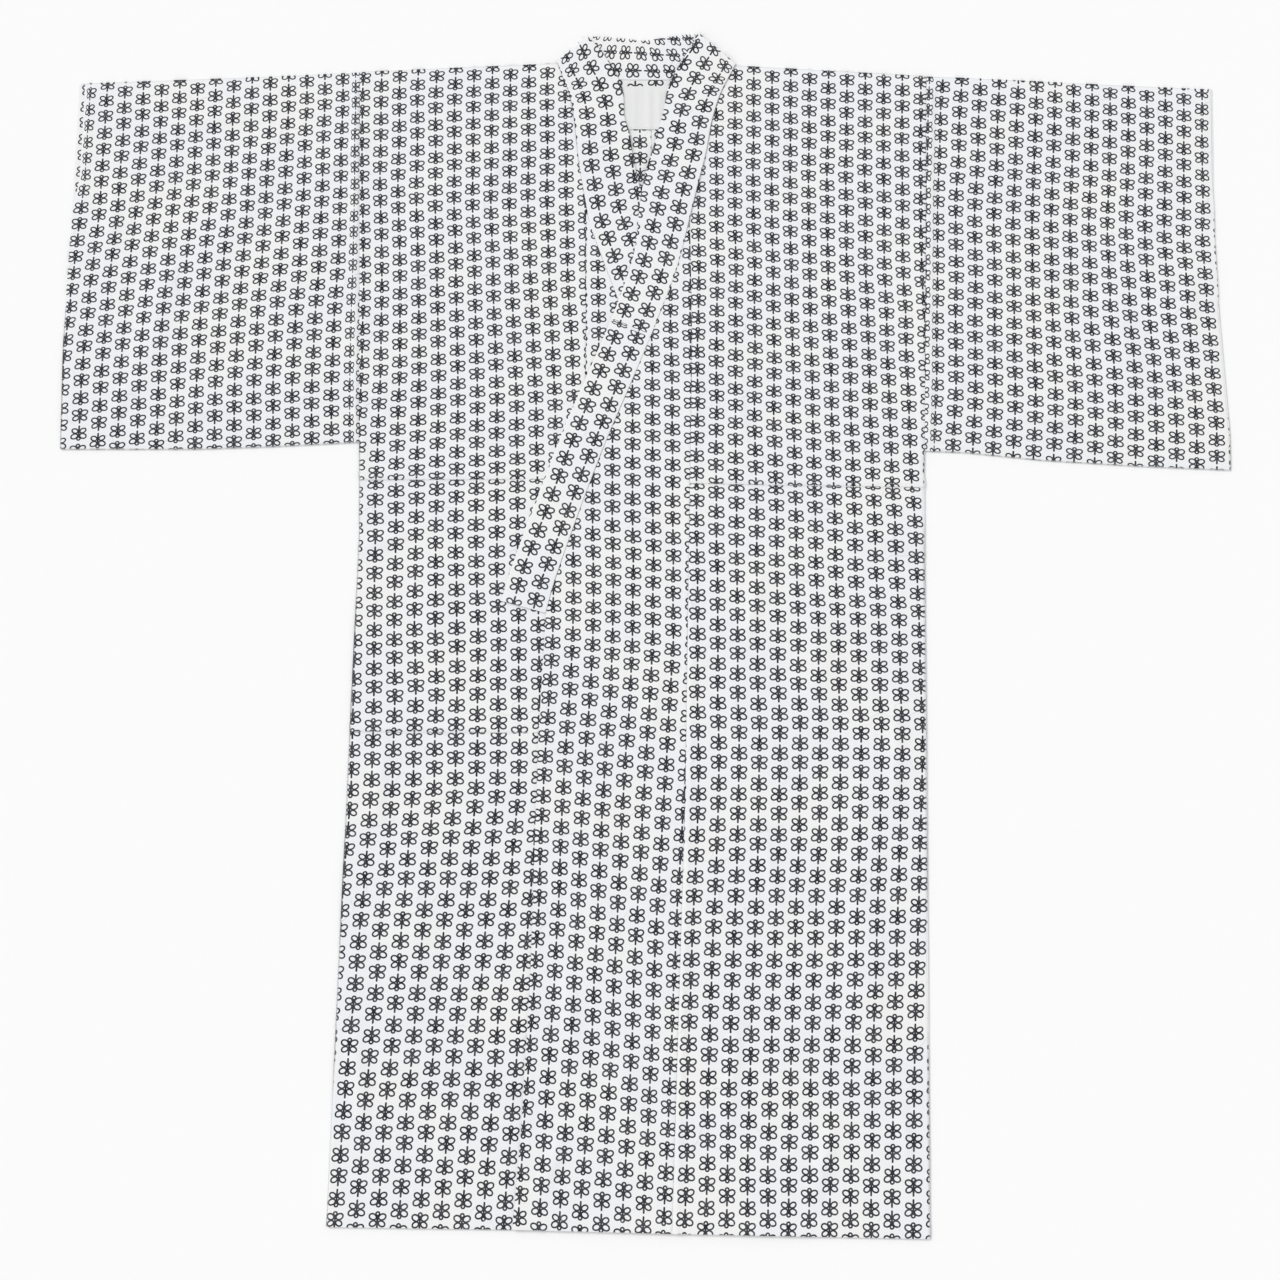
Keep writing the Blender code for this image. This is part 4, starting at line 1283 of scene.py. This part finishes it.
def stitch_places(line, pitch):
    """Evenly spaced places along a line, with the direction at each."""
    points = np.array(line, float)
    steps = np.linalg.norm(np.diff(points, axis=0), axis=1)
    reach = np.concatenate([[0.0], np.cumsum(steps)])
    for length in np.arange(pitch / 2, reach[-1], pitch):
        index = min(int(np.searchsorted(reach, length)) - 1, len(steps) - 1)
        share = (length - reach[index]) / steps[index]
        direction = (points[index + 1] - points[index]) / steps[index]
        yield points[index] + (points[index + 1] - points[index]) * share, direction


def thread_points(hit, along, length):
    """One stitch: a bowed thread, thin at both ends, that dips into the cloth."""
    sideways = Vector((-along.y, along.x, 0.0))
    for section in THREAD_SECTIONS:
        lift = Vector((0, 0, THREAD_RADIUS * (section.lift - THREAD_SINK)))
        centre = hit + along * (section.share * length) + lift
        for side in range(THREAD_SIDES):
            angle = 2 * math.pi * side / THREAD_SIDES
            rim = sideways * math.cos(angle) + Vector((0, 0, math.sin(angle)))
            yield centre + rim * THREAD_RADIUS * section.radius


def thread_faces(first):
    """The faces round one stitch and at its ends, from the number of its first point."""
    for low in range(first, first + (len(THREAD_SECTIONS) - 1) * THREAD_SIDES, THREAD_SIDES):
        for side in range(THREAD_SIDES):
            after, high = (side + 1) % THREAD_SIDES, low + THREAD_SIDES
            yield low + side, low + after, high + after, high + side
    yield tuple(range(first + THREAD_SIDES - 1, first - 1, -1))
    yield tuple(range(high, high + THREAD_SIDES))


def sew(node, rows):
    """All stitches of a piece as one mesh of threads on its cloth."""
    data = panels[node].data
    corners = [point.co for point in data.vertices]
    surface = BVHTree.FromPolygons(corners, [face.vertices for face in data.polygons])
    points, faces = [], []
    for row in rows:
        for place, direction in stitch_places(row.line, row.stitch.pitch):
            above = Vector((place[0], PART_DROP - place[1], ABOVE_CLOTH))
            hit = surface.ray_cast(above, Vector((0, 0, -1)))[0]
            if hit is not None:
                along = Vector((direction[0], -direction[1], 0.0))
                faces += thread_faces(len(points))
                points += thread_points(hit, along, row.stitch.length)
    name = node + "_stitches"
    data = bpy.data.meshes.new(name)
    data.from_pydata(points, [], faces)
    data.materials.append(white_thread)
    data.shade_smooth()
    stitches = put(name, data)
    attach(stitches, "root")


for node in panels:
    rows = [row for row in SEWING if row.node == node]
    if rows:
        sew(node, rows)

# What each piece was cut to: width, length and flat area of what is modelled, and what it lies on
Cut = namedtuple("Cut", "node width length area held rests_on")
CUTS = (
    Cut("body_left", 0.391, 2.79, 0.915, "folded", ("floor",)),
    Cut("body_right", 0.335, 2.795, 0.87, "folded", ("floor",)),
    Cut("okumi_left", 0.223, 1.22, 0.185, "laid", ("body_right_cloth",)),
    Cut("okumi_right", 0.216, 1.207, 0.176, "laid", ("body_left_cloth", "okumi_left_cloth")),
    Cut("sleeve_left", 0.36, 0.905, 0.312, "folded", ("floor",)),
    Cut("sleeve_right", 0.367, 0.94, 0.325, "folded", ("floor",)),
    Cut("collar", 0.06, 1.59, 0.092, "folded",
        ("body_left_cloth", "okumi_left_cloth", "neck_lining_cloth")),
    Cut("neck_lining", 0.145, 0.063, 0.0089, "laid", ("body_left_cloth", "body_right_cloth")),
)


# The floor, the light and the way that the sun shines
FLOOR_SIZE = 60.0
FLOOR_BELOW = 0.0002
FLOOR_COLOUR = (0.93, 0.93, 0.93, 1.0)
SKY_STRENGTH = 0.8
SUN_STRENGTH = 1.15
SUN_SIZE = math.radians(18)
SUN_WAY = Vector((0.62, -0.55, -0.72))


def plain_floor():
    """A pale floor that the robe lies on."""
    bpy.ops.mesh.primitive_plane_add(size=FLOOR_SIZE, location=(0.0, 0.0, -FLOOR_BELOW))
    floor = bpy.context.active_object
    floor.name = "floor"
    graph = Graph("floor")
    graph.surface(Base_Color=FLOOR_COLOUR, Roughness=0.9, Specular_IOR_Level=0.1)
    floor.data.materials.append(graph.material)


plain_floor()
for cut in CUTS:
    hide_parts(cut.node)
    "plain_cotton" if cut.node == "neck_lining" else "printed_cotton"


def studio_light():
    """Even soft light all round, and a broad light from the upper left that shows the creases."""
    world = bpy.data.worlds.new("studio")
    world.use_nodes = True
    background = world.node_tree.nodes["Background"]
    background.inputs["Color"].default_value = (1.0, 1.0, 1.0, 1.0)
    background.inputs["Strength"].default_value = SKY_STRENGTH
    scene.world = world
    data = bpy.data.lights.new("key", "SUN")
    data.energy = SUN_STRENGTH
    data.angle = SUN_SIZE
    put("key", data).rotation_euler = SUN_WAY.to_track_quat("-Z", "Y").to_euler()


studio_light()
scene.view_settings.view_transform = "Standard"

# The photograph is 1280 pixels square at 1.2 mm a pixel, seen from straight above
VIEW_WIDTH = 1.536
VIEW_MIDDLE = (-0.0066, -0.0048)
CAMERA_HEIGHT = 4.0
SENSOR = 36.0
camera_data = bpy.data.cameras.new("camera")
camera_data.sensor_width = SENSOR
camera_data.lens = SENSOR * CAMERA_HEIGHT / VIEW_WIDTH
camera = put("camera", camera_data)
camera.location = (*VIEW_MIDDLE, CAMERA_HEIGHT)
scene.camera = camera
